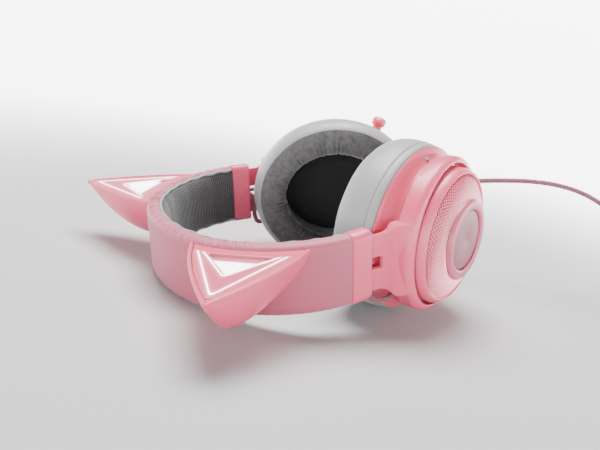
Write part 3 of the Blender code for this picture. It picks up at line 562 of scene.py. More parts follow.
def oval_ring(profile, side, segments):
    """Grid of points: an (X half, Z half, place) profile turned round the cup's axis."""
    profile = np.array(profile, float)
    turns = np.linspace(0, 2 * pi, segments, endpoint=False)
    x = np.cos(turns)[:, None] * profile[:, 0][None]
    z = np.sin(turns)[:, None] * profile[:, 1][None]
    y = np.ones(segments)[:, None] * profile[:, 2][None] * side
    return np.stack([x, y, z], axis=2)


def circle_profile(pairs):
    return [(radius, radius, place) for radius, place in pairs]


def lathe(name, pairs, start, end, finish, segments=48):
    """A turned piece on the line from start to end; pairs are (radius, distance along it)."""
    start, end = Vector(start), Vector(end)
    turn = Vector((0, 1, 0)).rotation_difference(end - start).to_matrix().to_4x4()
    matrix = Matrix.Translation(start) @ turn
    return skin(name, oval_ring(circle_profile(pairs), 1, segments), matrix, finish, close_rows=True,
                close_columns=True, smooth=40.0)


def spans(points):
    """Each four neighbours along a route, whose ends are carried on in a straight line."""
    ends = [2 * points[0] - points[1]] + points + [2 * points[-1] - points[-2]]
    return [ends[index - 1:index + 3] for index in range(1, len(ends) - 2)]


def on_span(a, b, c, d, t):
    """A point of the smooth curve from b to c."""
    return 0.5 * (2 * b + (c - a) * t + (2 * a - 5 * b + 4 * c - d) * t ** 2
                  + (3 * b - a - 3 * c + d) * t ** 3)


def smooth_route(points, spacing):
    """Points a set distance apart along one smooth curve through the route's own points."""
    fine = [on_span(*span, step / ROUTE_STEPS) for span in spans(points) for step in range(ROUTE_STEPS)]
    fine.append(points[-1])
    picked = [fine[0]]
    walked = 0.0
    for here, there in zip(fine, fine[1:]):
        walked += (there - here).length
        if walked >= spacing:
            picked.append(there)
            walked = 0.0
    if (picked[-1] - fine[-1]).length < spacing * 0.5:
        picked.pop()
    return picked + [fine[-1]]


def tube(name, route, radius, finish, matrix=None, sides=16):
    """A closed round tube along a route, with its strands' UV map and no twist."""
    route = np.array([tuple(point) for point in route], float)
    tangents = np.gradient(route, axis=0)
    tangents /= np.linalg.norm(tangents, axis=1)[:, None]
    normal = np.cross(tangents[0], (0.31, 0.17, 0.93))
    normal /= np.linalg.norm(normal)
    turns = np.linspace(0, 2 * pi, sides, endpoint=False)
    grid = []
    for place, tangent in zip(route, tangents):
        normal = normal - tangent * normal.dot(tangent)
        normal /= np.linalg.norm(normal)
        other = np.cross(tangent, normal)
        grid.append(place + radius * (np.cos(turns)[:, None] * normal + np.sin(turns)[:, None] * other))
    return skin(name, grid, matrix or Matrix.Identity(4), finish, close_columns=True, caps=True, smooth=60.0)


# ---------------------------------------------------------------- the camera and the cord


def place_camera():
    forward = Vector(CAMERA_FORWARD).normalized()
    right = Vector(CAMERA_RIGHT)
    right = (right - forward * right.dot(forward)).normalized()
    up = right.cross(forward)
    data = bpy.data.cameras.new("camera")
    data.lens = CAMERA_LENS
    data.sensor_width = 36.0
    data.sensor_fit = "HORIZONTAL"
    data.clip_start = 0.01
    camera = bpy.data.objects.new("camera", data)
    camera.matrix_world = Matrix((right, up, -forward)).transposed().to_4x4()
    camera.location = Vector(CAMERA_PLACE) * MM
    bpy.context.scene.collection.objects.link(camera)
    bpy.context.scene.camera = camera


def free_route():
    """The cable's free stretch: out of the strain relief, over in one arc and down onto its coil."""
    points = [GLAND_END, (112.0, 14.6, 63.1), (129.6, 5.3, 67.0), (147.2, -4.0, 70.8), (164.8, -13.3, 73.6),
              (182.2, -22.6, 74.2), (199.2, -31.7, 71.4), (215.0, -40.2, 64.6), (228.8, -48.2, 54.0),
              (239.8, -56.4, 41.6), (247.6, -65.4, 30.0), (252.4, -75.4, 21.0), (254.8, -86.0, 15.6),
              (254.6, -96.6, 13.4), (252.2, -106.0, 12.8), (249.0, -112.4, COIL_TOP)]
    return [Vector(point) for point in points]


def coil_route():
    """The cable crosses the coil's top to the inner column, then fills column after column."""
    points = []
    start = -90.0
    arrive = -20.0
    for step in range(1, 9):
        t = step / 9
        radius = COIL_ENTRY_R + (COIL_COLUMNS[0] - COIL_ENTRY_R) * t
        drop = max(0.0, (t - 0.6) / 0.4)
        turn = radians(arrive + (start - arrive) * t)
        fall = (COIL_LEVELS[0] - COIL_TOP) * drop * drop * (3 - 2 * drop)
        points.append((radius, turn, COIL_TOP + fall))
    steps = 28
    ramp = 0.16
    for column, radius in enumerate(COIL_COLUMNS):
        levels = COIL_LEVELS if column % 2 == 0 else COIL_LEVELS[::-1]
        for lap, level in enumerate(levels):
            for step in range(steps):
                f = step / steps
                rise = min(max((f - 1 + ramp) / ramp, 0.0), 1.0) if lap < 2 else 0.0
                shift = min(max((f - 1 + 2 * ramp) / ramp, 0.0), 1.0) if lap == 2 and column < 2 else 0.0
                z = level + (levels[min(lap + 1, 2)] - level) * rise * rise * (3 - 2 * rise)
                wide = radius + COIL_PITCH * shift * shift * (3 - 2 * shift)
                points.append((wide, radians(start - 360.0 * f), z))
    made = [Vector((COIL_X + r * cos(a), COIL_Y + r * sin(a), z)) for r, a, z in points]
    outer = COIL_COLUMNS[-1]
    tail = [(0.0, 2.9), (-6.0, 3.1), (-11.0, 3.8), (-14.2, PLUG_Z)]
    return made + [Vector((COIL_X + x, COIL_Y - outer, z)) for x, z in tail]


def make_cable(braid):
    """The whole cable as one tube, with the pieces on it."""
    route = smooth_route(free_route() + coil_route(), 2.4)
    cable = fit(tube("usb_cord", route, CABLE_R, braid), "cup_left", "usb_cable", "cable_coil")
    pieces = make_plug() + [make_tie()]
    [tuple(point * MM) for point in route]
    return cable


def rounded_box(name, low, high, radius, finish, levels=3):
    """A box with rounded edges, between two corners in millimetres."""
    work = bmesh.new()
    low, high = Vector(low) * MM, Vector(high) * MM
    bmesh.ops.create_cube(work, size=1.0)
    for vertex in work.verts:
        vertex.co = Vector([low[i] + (vertex.co[i] + 0.5) * (high[i] - low[i]) for i in range(3)])
    bmesh.ops.bevel(work, geom=work.edges[:], offset=radius * MM, segments=levels, profile=0.5,
                    affect="EDGES")
    mesh = bpy.data.meshes.new(name)
    work.to_mesh(mesh)
    work.free()
    mesh.materials.append(finish)
    mesh.shade_smooth()
    mesh.set_sharp_from_angle(angle=radians(40.0))
    made = bpy.data.objects.new(name, mesh)
    bpy.context.scene.collection.objects.link(made)
    return made


def make_plug():
    """The USB plug: overmoulded grip with a ribbed neck, folded steel shell and white tongue."""
    low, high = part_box("plug_body")
    rubber = plain_plastic("plug_black", (0.022, 0.022, 0.024), 0.5)
    middle = (low.y + high.y) / 2 / MM
    grip_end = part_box("plug_shell")[1].x / MM + 20.0
    grip = rounded_box("plug_grip", (low.x / MM, low.y / MM, low.z / MM),
                       (grip_end, high.y / MM, high.z / MM), 1.4,
                       rubber)
    ribs = [(2.8, 0.0)]
    for rib in range(3):
        at = 1.2 + rib * 2.2
        ribs += [(2.8, at), (2.2, at + 0.25), (2.2, at + 0.75), (2.8, at + 1.0)]
    ribs += [(2.8, 8.4), (1.7, 8.4), (1.7, 0.0)]
    neck = lathe("plug_neck", ribs, (high.x / MM, middle, PLUG_Z), (high.x / MM - 8.4, middle, PLUG_Z),
                 rubber, 32)
    fit(grip, "cup_left", "plug_body")
    fit(neck, "cup_left")
    repaint(metal("plug_steel"), "plug_shell")
    repaint(plain_plastic("tongue_white", (0.72, 0.72, 0.72), 0.4), "plug_tongue")
    return [grip, neck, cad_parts["plug_shell"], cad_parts["plug_tongue"]]


def make_tie():
    """A soft strap wrapped round the coil."""
    low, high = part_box("cable_tie")
    x0, x1 = low.x / MM, high.x / MM
    z0, z1 = low.z / MM, high.z / MM
    corners = [(x0, z0), (x1, z0), (x1, z1), (x0, z1)]
    outer = softened([(x, 0, z) for x, z in corners], 3.0, 6)
    inner = softened([(x + (0.9 if x == x0 else -0.9), 0, z + (0.9 if z == z0 else -0.9)) for x,
                      z in corners], 2.4, 6)
    half = (high.y - low.y) / 2 / MM
    middle = (high.y + low.y) / 2 / MM
    grid = []
    for a, b in zip(outer, inner):
        grid.append([(a[0], middle - half, a[2]), (a[0], middle + half, a[2]), (b[0], middle + half, b[2]),
                     (b[0], middle - half, b[2])])
    strap = skin("cable_strap", grid, Matrix.Identity(4), plain_plastic("strap_black", (0.03, 0.03, 0.032),
                                                                        0.8, 2400.0),
                 close_rows=True, close_columns=True)
    return fit(strap, "cup_left", "cable_tie")


# ---------------------------------------------------------------- headband


def band_point(angle, inward, z):
    """A point of the headband: angle from the crown, positive to the left, and depth below its face."""
    x, y = CROWN_X, 0.0
    for start, end, radius in BAND_ARCS:
        a = radians(start)
        b = radians(min(max(abs(angle), start), end))
        x += radius * (cos(a) - cos(b))
        y += radius * (sin(b) - sin(a))
    turn = radians(abs(angle))
    side = -1 if angle < 0 else 1
    return (x + inward * cos(turn), side * (y - inward * sin(turn)), z)


def sum_of_waves(values, seed, slowest, fastest, count):
    """A smooth uneven wave over the values, from about -1 to 1, the same on every run."""
    random = np.random.RandomState(seed)
    total = np.zeros_like(values, float)
    for _ in range(count):
        rate = random.uniform(slowest, fastest)
        total += random.uniform(0.5, 1.0) * np.sin(rate * values + random.uniform(0, 2 * pi))
    return total / sqrt(count)


def band_grid(angles, sections):
    """The points of each angle's own section, given as (depth, z)."""
    return [[band_point(angle, *point) for point in section] for angle, section in zip(angles, sections)]


def even_steps(points, gap):
    """More points along a closed outline, so that no step is longer than the gap."""
    points = [np.array(point, float) for point in points]
    result = []
    for here, there in zip(points, points[1:] + points[:1]):
        count = max(1, int(np.ceil(np.linalg.norm(there - here) / gap)))
        result += [here + (there - here) * step / count for step in range(count)]
    return result


def make_band_cover(leatherette):
    """The leatherette cover, gathered along its edges where it is pulled round the crown."""
    half, thick = BAND_HALF, BAND_THICK
    outline = [(0, -half + 3.4), (1.0, -half + 1.0), (3.4, -half), (6.5, -half), (thick, -half + 1.1),
               (thick, -half + 3.0), (1.8, -half + 3.1), (1.8, half - 3.1), (thick, half - 3.0),
               (thick, half - 1.1), (6.5, half), (3.4, half), (1.0, half - 1.0), (0, half - 3.4)]
    section = np.array(even_steps(softened(outline, 1.6, 5), 1.3))
    angles = np.linspace(-BAND_SEAM + 0.15, BAND_SEAM - 0.15, 620)
    arc = angles * ARC_STEP
    gathers = sum_of_waves(arc, 5, 0.9, 1.9, 6) + 0.6 * sum_of_waves(arc, 8, 2.0, 3.2, 5)
    near_crown = np.clip((88 - np.abs(angles - 12)) / 46, 0.10, 1.0)
    edge = np.clip((np.abs(section[:, 1]) - (half - 5.2)) / 3.4, 0, 1) * np.clip(section[:, 0] / 2.0, 0, 1)
    edge *= section[:, 0] < thick + 0.1
    face = np.clip(1 - section[:, 0] / 1.2, 0, 1)
    slow = sum_of_waves(angles, 3, 0.05, 0.16, 4)
    lift = np.repeat(section[None], len(angles), axis=0).copy()
    up = np.sign(section[:, 1])
    lift[:, :, 1] -= (up * edge)[None] * ((0.40 - 0.40 * gathers) * near_crown)[:, None]
    lift[:, :, 0] += face[None] * (0.09 * slow)[:, None]
    cover = skin("band_leatherette", band_grid(angles, lift), Matrix(head_frame()), leatherette,
                 close_columns=True, caps=True, smooth=60.0)
    return fit(cover, "headband", "band_cover")


def make_pad(mesh_cloth, trim):
    """The crown pad: a long pillow of knitted mesh with grey piping along both edges."""
    angles = np.linspace(-BAND_SEAM + 0.2, BAND_SEAM - 0.2, 420)
    wide = BAND_HALF - PAD_EDGE
    crest = [(PAD_BASE + 4.7 * max(0.0, 1 - abs(t) ** 3.2) ** 0.5, wide * t) for t in np.linspace(-1, 1, 41)]
    base = [(PAD_BASE, wide * t) for t in np.linspace(0.9, -0.9, 9)]
    section = np.array(crest + base)
    arc = angles * ARC_STEP
    scallop = sum_of_waves(arc, 21, 0.30, 0.62, 4)
    from_end = np.minimum(angles - angles[0], angles[-1] - angles)
    swell = 0.3 + 0.7 * np.sin(np.minimum(from_end / 40, 1) * pi / 2)
    lift = np.repeat(section[None], len(angles), axis=0).copy()
    height = section[:, 0] - PAD_BASE
    rim = np.clip(np.abs(section[:, 1]) / wide, 0, 1) ** 3
    quilting = 1 + 0.11 * scallop[:, None] * (0.25 + rim[None])
    lift[:, :, 0] = PAD_BASE + height[None] * (swell[:, None] * quilting)
    pad = skin("crown_pillow", band_grid(angles, lift), head_frame(), mesh_cloth, close_columns=True,
               caps=True, smooth=70.0)
    fit(pad, "headband", "crown_pad")
    for label, edge in (("front", 1), ("rear", -1)):
        route = [band_point(angle, 7.75, edge * (wide + 0.1 + 0.28 * sin(angle * 0.62)))
                 for angle in np.linspace(-BAND_SEAM + 0.6, BAND_SEAM - 0.6, 260)]
        fit(tube("pad_piping_" + label, route, 0.8, trim, head_frame(), 12), "headband")


def make_end_cap(name, side, pink):
    """A moulded cap with a fine seam to the cover and a bevelled end."""
    half, thick = BAND_HALF + 0.25, BAND_THICK + 0.8
    outline = [(-0.15, -half + 3.0), (0.9, -half + 0.9), (3.2, -half), (thick - 1.4, -half),
               (thick, -half + 1.4),
               (thick, half - 1.4), (thick - 1.4, half), (3.2, half), (0.9, half - 0.9), (-0.15, half - 3.0)]
    section = np.array(even_steps(softened(outline, 0.9, 5), 3.0))
    middle = np.array([thick / 2, 0.0])
    rows = [(BAND_SEAM + 0.12, 0.55), (BAND_SEAM + 0.22, 0.2), (BAND_SEAM + 0.5, 0.0)]
    rows += [(angle, 0.0) for angle in np.linspace(BAND_SEAM + 1.5, BAND_END - 1.2, 14)]
    rows += [(BAND_END - 0.55, 0.12), (BAND_END - 0.2, 0.42), (BAND_END, 0.95)]
    sections = []
    for _, inset in rows:
        shrink = 1 - inset / np.maximum(np.linalg.norm(section - middle, axis=1), 1e-6)
        sections.append(middle + (section - middle) * shrink[:, None])
    grid = band_grid([side * angle for angle, _ in rows], sections)
    cap = skin("cap_" + name, grid, head_frame(), pink, close_columns=True, caps=True, smooth=50.0)
    return fit(cap, "headband", "end_cap_" + name)


# ---------------------------------------------------------------- Boolean helpers


def carve(target, tool, operation="DIFFERENCE"):
    """Applies one exact Boolean and throws the tool away."""
    change = target.modifiers.new("carve", "BOOLEAN")
    change.operation = operation
    change.object = tool
    change.solver = "EXACT"
    settle(target)
    bpy.data.objects.remove(tool)


def settle(piece):
    """Turns a piece with modifiers into a plain mesh."""
    graph = bpy.context.evaluated_depsgraph_get()
    mesh = bpy.data.meshes.new_from_object(piece.evaluated_get(graph))
    piece.modifiers.clear()
    piece.data = mesh


def eased(piece, width, angle=32.0, segments=2):
    """Rounds the sharp edges of a moulded piece a little."""
    change = piece.modifiers.new("eased edges", "BEVEL")
    change.width = width * MM
    change.segments = segments
    change.limit_method = "ANGLE"
    change.angle_limit = radians(angle)
    settle(piece)
    piece.data.shade_smooth()
    piece.data.set_sharp_from_angle(angle=radians(38.0))


def slab(name, outline, low, high, place, matrix, finish):
    """An outline drawn out between two levels; place turns (a, b, level) into XYZ."""
    grid = [[place(a, b, low) for a, b in outline], [place(a, b, high) for a, b in outline]]
    return skin(name, grid, matrix, finish, close_columns=True, caps=True, smooth=30.0)


# ---------------------------------------------------------------- ears


def ear_half(height):
    return EAR_HALF * ((1 - height) + EAR_BULGE * 4 * height * (1 - height)) + EAR_TIP


def ear_depth(height):
    return EAR_DEEP * (1 - max(height, 0.0) ** 2.615) + 2 * EAR_TIP


def ear_rows():
    """(height, shrink) rows from the root to the tip, which is closed with a round end."""
    rows = [(height, 1.0) for height in np.linspace(EAR_ROOT, 1.0, 110)]
    rows += [(1.0 + 0.030 * sin(turn), cos(turn)) for turn in np.linspace(0.25, 1.5, 6)]
    return rows


def make_ear_shell(name, side, pink, band_tool):
    """The ear's moulded back, with a rounded rim that frames the face."""
    turns = [radians(angle) for angle in np.linspace(0, 180, 73)]
    grid = []
    for height, shrink in ear_rows():
        half = ear_half(min(height, 1.0)) * shrink
        deep = ear_depth(min(height, 1.0)) * (0.55 + 0.45 * shrink)
        rim = min(1.9, half * 0.8)
        floor = -2.6 + 2.45 * min(1.0, max(0.0, (height - 0.930) / 0.02))
        row = []
        for turn in turns:
            swing = abs(cos(turn)) ** EAR_SQUARE
            across = half * (swing if cos(turn) > 0 else -swing)
            row.append((across, height * EAR_TALL, -0.7 - (deep - 0.7) * sin(turn) ** EAR_SQUARE))
        lip = [(-half + 0.12, -0.3), (-half + 0.4, -0.08), (-half + 0.8, 0.0), (-half + rim - 0.25, 0.0),
               (-half + rim, -0.12), (-half + rim, floor)]
        row += [(across, height * EAR_TALL, depth) for across, depth in lip]
        row += [(-across, height * EAR_TALL, depth) for across, depth in reversed(lip)]
        grid.append(row)
    shell = skin("ear_back_" + name, grid, ear_frame(side), pink, close_columns=True, caps=True, smooth=50.0)
    carve(shell, band_tool)
    return fit(shell, "headband", "ear_shell_" + name)


# Light lines of the ear's face: (start, end) points, in the ear's frame.
OUTER_LINES = (((-22.5, 6.6), (-0.6, 50.4)), ((20.8, 8.0), (-0.6, 50.4)))
INNER_LINES = (((-19.3, 8.0), (-1.2, 32.6)), ((18.0, 8.5), (-1.2, 32.6)))
WINDOW_LINES = (((-13.2, 14.6), (0.4, 31.2)), ((13.6, 13.4), (0.4, 31.2)))
POCKET_TOP = 9.7
WINDOW_TOP = 14.6


def side_of(line):
    """(a, b, c) with a u + b v + c the distance outwards from the line, seen from the ear's middle."""
    (x0, y0), (x1, y1) = line
    size = sqrt((x1 - x0) ** 2 + (y1 - y0) ** 2)
    a, b = (y1 - y0) / size, -(x1 - x0) / size
    c = -(a * x0 + b * y0)
    if a * 0.0 + b * 12.0 + c > 0:
        a, b, c = -a, -b, -c
    return a, b, c


def outside(lines, u, v, highest):
    """How far a point lies outside the V of two lines; highest picks the larger value."""
    first, second = [a * u + b * v + c for a, b, c in map(side_of, lines)]
    return highest(first, second)


def make_ear_face(name, side, finish, band_tool):
    """The face plate with its sunk window; the shader draws the light lines from its UV map."""
    heights = np.linspace(EAR_ROOT, EAR_FACE_TOP, 150)
    shares = np.linspace(-1, 1, 141)
    grid, plan = [], []
    for height in heights:
        half = ear_half(height) - EAR_FACE_EDGE
        row, flat = [], []
        for share in shares:
            u, v = half * share, height * EAR_TALL
            edge = outside(INNER_LINES, u, v, max) + 1.1
            well = np.clip(-edge / 0.9, 0, 1) * np.clip((v - POCKET_TOP) / 0.9, 0, 1)
            rounded = 0.35 * max(0.0, 1 - (1 - abs(share)) * half / 0.6) ** 2
            row.append((u, v, -0.25 - rounded - 1.5 * well * well * (3 - 2 * well)))
            flat.append((u, v))
        row += [(across, height * EAR_TALL, -EAR_FACE_EDGE) for across in (half, 0.0, -half)]
        flat += [(half, height * EAR_TALL), (0.0, -60.0), (-half, height * EAR_TALL)]
        grid.append(row)
        plan.append(flat)
    plate = skin("ear_plate_" + name, grid, ear_frame(side), finish, close_columns=True, caps=True,
                 smooth=70.0,
                 chart=plan)
    carve(plate, band_tool)
    return fit(plate, "headband", "ear_face_" + name)


def ear_face_finish():
    """The ear's face: satin pink, with the light lines, the sunk window and their glow, and a painted shadow
    under the pocket's upper wall.
    """
    made = Finish("ear_face_pink", 0.34, Emission_Strength=1.0, Coat_Weight=0.1)
    u, v, _ = made.parts(made.along())

    def largest(first, second):
        return first.maths("SMOOTH_MAX", second, 4.0)

    def line_of(edge, wide, low, soft):
        beside = edge.maths("ABSOLUTE").step(wide - soft, wide + soft)
        return (beside * -1.0 + 1.0) * v.step(low - 0.4, low + 0.4)

    outer = outside(OUTER_LINES, u, v, largest)
    inner = outside(INNER_LINES, u, v, largest)
    window = outside(WINDOW_LINES, u, v, largest)
    lines = line_of(outer, 0.40, 8.0, 0.2).maths("MAXIMUM", line_of(inner, 0.36, 9.0, 0.2))
    haze = line_of(outer, 0.2, 7.0, 2.6).maths("MAXIMUM", line_of(inner, 0.2, 8.0, 2.6))
    pane = (window.step(-1.6, 1.0) * -1.0 + 1.0) * v.step(WINDOW_TOP - 1.2, WINDOW_TOP + 1.4)
    pocket = (inner.step(-1.8, -0.8) * -1.0 + 1.0) * v.step(POCKET_TOP - 0.3, POCKET_TOP + 0.3)
    # painted shadow of the pocket's upper wall: a darker pink band along its top, with the glow taken out
    roof_shadow = pocket * (v.step(POCKET_TOP + 1.0, WINDOW_TOP + 1.0) * -1.0 + 1.0)
    pale = made.blend(pocket * 0.75, (0.72, 0.095, 0.165), (0.82, 0.24, 0.32))
    pale = made.blend(haze * 0.75, pale, (0.95, 0.48, 0.56))
    pale = made.blend(roof_shadow * 0.9, pale, (0.48, 0.075, 0.12))
    bright = lines.maths("MAXIMUM", pane)
    made.put("Base Color", made.blend(bright, pale, (1.0, 0.95, 0.96)))
    halo = made.blend(haze * haze * 1.3 + pocket * 0.10, (0.0, 0.0, 0.0), (2.0, 0.9, 1.1))
    halo = made.blend(roof_shadow, halo, (0.0, 0.0, 0.0))
    made.put("Emission Color", made.blend(bright, halo, (5.0, 4.4, 4.6)))
    return made.material


# ---------------------------------------------------------------- yokes


def arm_side_view():
    inner_y = ARM_OUT - ARM_THICK
    low = [(ARM_TOP_X, inner_y), (-37.6, inner_y), (-33.0, inner_y + 3.2), (-33.0, ARM_OUT + 6.2)]
    shoulder = [(-38.6, ARM_OUT + 5.4), (-41.6, ARM_OUT + 3.6), (-44.6, ARM_OUT + 0.9), (-47.8, ARM_OUT)]
    return low + [tuple(point) for point in softened(shoulder, 3.0, 5, closed=False)] + [(ARM_TOP_X, ARM_OUT)]


def arm_front_view():
    flare = [(-48.0, ARM_HALF), (-44.6, ARM_HALF + 0.5), (-42.6, ARM_HALF + 2.0), (-41.2, ARM_HALF + 4.4),
             (-30.0, ARM_HALF + 4.4)]
    front = [(ARM_TOP_X - 1, ARM_HALF)] + [tuple(point) for point in softened(flare, 2.4, 5, closed=False)]
    return front + [(x, -z) for x, z in reversed(front)]


def ring_profile():
    """The yoke ring's section, its outer shoulder turned in a smooth arc to the lip."""
    shoulder = []
    for turn in np.linspace(0.0, 1.38, 12):
        inward = 1 - cos(turn)
        shoulder.append((RING_X - (RING_X - LIP_R) * inward, RING_Z - (RING_Z - LIP_R) * inward,
                         RING_FRONT - 3.4 + 3.4 * sin(turn)))
    lip = [(LIP_R + 0.25, LIP_R + 0.25, RING_FRONT), (LIP_R, LIP_R, RING_FRONT - 0.25),
           (LIP_R, LIP_R, RING_FRONT - 1.0)]
    wall = [(RING_X - RING_WALL_X, RING_Z - RING_WALL_Z, RING_FRONT - 3.0),
            (RING_X - RING_WALL_X, RING_Z - RING_WALL_Z, RING_BACK)]
    return [(RING_X - 0.3, RING_Z - 0.3, RING_BACK), (RING_X, RING_Z,
                                                      RING_BACK + 0.3)] + shoulder + lip + wall


def make_yoke(name, side, pink):
    """The ring and its slider arm in one moulding, with the slot down the arm."""
    place = yoke_frame(side)
    head = head_frame()
    yoke = skin("yoke_ring_" + name, oval_ring(ring_profile(), side, 160), place, pink, close_rows=True,
                close_columns=True, smooth=50.0)
    arm = slab("arm", arm_side_view(), -22.0, 22.0, lambda x, y, z: (x, side * y, z), head, pink)
    view = slab("view", arm_front_view(), 40.0, 100.0, lambda x, z, y: (x, side * y, z), head, pink)
    carve(arm, view, "INTERSECT")
    carve(yoke, arm, "UNION")
    hollow = [(RING_X - RING_WALL_X, RING_Z - RING_WALL_Z, -11.0),
              (RING_X - RING_WALL_X, RING_Z - RING_WALL_Z, RING_FRONT - 3.0),
              (LIP_R, LIP_R, RING_FRONT - 1.0), (LIP_R, LIP_R, 14.0), (0.01, 0.01, 14.0), (0.01, 0.01, -11.0)]
    carve(yoke, skin("hollow", oval_ring(hollow, side, 160), place, pink, close_rows=True,
                     close_columns=True))
    slot = softened([(SLOT_TOP_X, -SLOT_HALF), (SLOT_END_X, -SLOT_HALF), (SLOT_END_X, SLOT_HALF),
                     (SLOT_TOP_X, SLOT_HALF)], 1.0, 4)
    carve(yoke, slab("slot", [tuple(point) for point in slot], 60.0, 80.0, lambda x, z, y: (x, side * y, z),
                     head, pink))
    if side > 0:
        cut_notches(yoke, place, pink)
    for end in (1, -1):
        start = place @ Vector((0, side * PIVOT_S, end * (RING_Z - 8)))
        bore = [(0.01, 0.0), (PIN_R + 0.2, 0.0), (PIN_R + 0.2, 7.7), (0.01, 7.7)]
        carve(yoke, lathe("bore", bore, start, place @ Vector((0, side * PIVOT_S, end * RING_Z)), pink, 40))
    eased(yoke, 0.35)
    return fit(yoke, "slider_" + name, "yoke_" + name)


def cut_notches(yoke, place, pink):
    """Clears the left ring's back edge for the cable's sleeve and for the microphone."""
    outline = [(RING_X - 8, -4.6), (RING_X + 4, -4.6), (RING_X + 4, 4.6), (RING_X - 8, 4.6)]
    carve(yoke, slab("sleeve_notch", outline, RING_BACK - 2, RING_BACK + 4, lambda x, z, y: (x, y, z),
                     place, pink))
    slope = radians(MIC_SLOPE)
    ends = []
    for along in (-14.0, 14.0):
        local = Vector((MIC_X + along * sin(slope), MIC_S, MIC_Z + along * cos(slope)))
        local.y += RING_BACK - MIC_S - 2.8 + 1.6
        ends.append(place @ local)
    pairs = [(0.01, 0.0), (3.7, 0.0), (3.7, 28.0), (0.01, 28.0)]
    carve(yoke, lathe("mic_notch", pairs, ends[0], ends[1], pink, 40))


# ---------------------------------------------------------------- cups


def cup_ring(label, name, side, section, finish, segments, nodes=(), **looks):
    """A piece turned round the cup's axis, which rides on the cup."""
    grid = oval_ring(section, side, segments)
    piece = skin(label + "_" + name, grid, cup_frame(name, side), finish, close_rows=True,
                 close_columns=True, **looks)
    return fit(piece, "cup_" + name, *[node + "_" + name for node in nodes])


def make_housing(name, side, pink):
    """The pink shell: a flange strip by the cushion, a hollow flank and the throat."""
    outer = [(FLANGE_X - 0.4, FLANGE_Z - 0.4, FLANGE_S), (FLANGE_X, FLANGE_Z, FLANGE_S + 0.5),
             (FLANGE_X - 1.8, FLANGE_Z - 1.2, FLANGE_S + 1.3),
             (FLANGE_X - 5.0, FLANGE_Z - 3.5, FLANGE_S + 2.2),
             (THROAT_X + 4.6, THROAT_Z + 2.6, FLANGE_S + 3.4),
             (THROAT_X + 2.0, THROAT_Z + 1.2, FLANGE_S + 5.2),
             (THROAT_X + 0.5, THROAT_Z + 0.3, FLANGE_S + 8.0), (THROAT_X, THROAT_Z, 2.0),
             (THROAT_X, THROAT_Z, THROAT_TOP)]
    inner = [(THROAT_X - 2, THROAT_Z - 2, THROAT_TOP), (THROAT_X - 2, THROAT_Z - 2, -2.0),
             (THROAT_X + 2, THROAT_Z - 0.6, FLANGE_S + 2.0), (44.5, 38.9, FLANGE_S)]
    cup_ring("cup_shell", name, side, softened(outer + inner, 0.7, 4), pink, 224, ["cup_housing"])


def make_cover(name, side, rim_pink):
    """The cover's rim round the lattice."""
    seat = THROAT_TOP + 0.3
    section = [(THROAT_X, THROAT_Z, seat), (THROAT_X, THROAT_Z, seat + 1.6),
               (THROAT_X - 0.9, THROAT_Z - 0.6, seat + 3.4),
               (THROAT_X - 2.2, THROAT_Z - 1.4, MESH_S - 0.3), (MESH_R + 0.7, MESH_R + 0.8, MESH_S + 0.15),
               (MESH_R, MESH_R, MESH_S - 0.6), (MESH_R, MESH_R, seat + 1.9),
               (MESH_R - 1.2, MESH_R - 1.2, seat + 1.9),
               (MESH_R - 1.2, MESH_R - 1.2, seat)]
    cup_ring("cover_rim", name, side, softened(section, 0.9, 4), rim_pink, 224, ["cup_cover"])


def dome_height(radius):
    """The lattice's dome: its place along the axis at a distance from it."""
    share = max(0.0, (radius - DISC_R) / (MESH_R - DISC_R))
    return MESH_S - 1.1 + DOME_RISE * (1 - share ** 1.9)


def glow_share(share, turn):
    """How white the lattice looks: most by the disc and towards its lower back."""
    return np.clip(0.12 + 0.62 * share + 0.42 * np.cos(turn + 0.75), 0.0, 1.0)


def lattice_sheet(name, side, finish):
    """A dome of diamonds: rows of points set half a step round from each other."""
    around, rows = LATTICE_AROUND, LATTICE_ROWS
    inner, outer = DISC_R - 1.0, MESH_R - 0.5
    points, white = [], []
    for row in range(2 * rows + 1):
        radius = inner + (outer - inner) * row / (2 * rows)
        for step in range(around):
            turn = 2 * pi * (step + 0.5 * (row % 2)) / around
            points.append((radius * cos(turn), side * dome_height(radius), radius * sin(turn)))
            share = (outer - radius) / (outer - inner)
            white.append(glow_share(share, turn))
    faces = []
    for row in range(2 * rows - 1):
        shift = row % 2
        for step in range(around):
            low = row * around + step
            right = (row + 1) * around + (step + shift) % around
            left = (row + 1) * around + (step + shift - 1) % around
            high = (row + 2) * around + step
            faces.append((low, right, high, left))
    matrix = cup_frame(name, side)
    placed = np.array(points) @ np.array(matrix.to_3x3()).T + np.array(matrix.translation)
    mesh = bpy.data.meshes.new("lattice")
    mesh.from_pydata((placed * MM).tolist(), [], faces)
    kept = mesh.attributes.new("white", "FLOAT", "POINT")
    kept.data.foreach_set("value", white)
    mesh.materials.append(finish)
    made = bpy.data.objects.new("lattice_" + name, mesh)
    bpy.context.scene.collection.objects.link(made)
    out = Vector(matrix.to_3x3() @ Vector((0, side, 0)))
    if mesh.polygons[0].normal.dot(out) < 0:
        mesh.flip_normals()
    return made


def geometry_tree(name, *sockets):
    """An empty Geometry Nodes tree; returns it with the identifiers of its inputs."""
    tree = bpy.data.node_groups.new(name, "GeometryNodeTree")
    keys = [tree.interface.new_socket(label, in_out="INPUT", socket_type="NodeSocket" + kind).identifier
            for label, kind in sockets]
    tree.interface.new_socket("Geometry", in_out="OUTPUT", socket_type="NodeSocketGeometry")
    return tree, keys


def geometry_node(tree, kind, inputs=None, **settings):
    node = tree.nodes.new("GeometryNode" + kind)
    for label, value in settings.items():
        setattr(node, label, value)
    for label, value in (inputs or {}).items():
        node.inputs[label].default_value = value
    return node


def wire(tree, *joints):
    """Links each (node, output, node, input)."""
    for start, output, end, entry in joints:
        tree.links.new(start.outputs[output], end.inputs[entry])


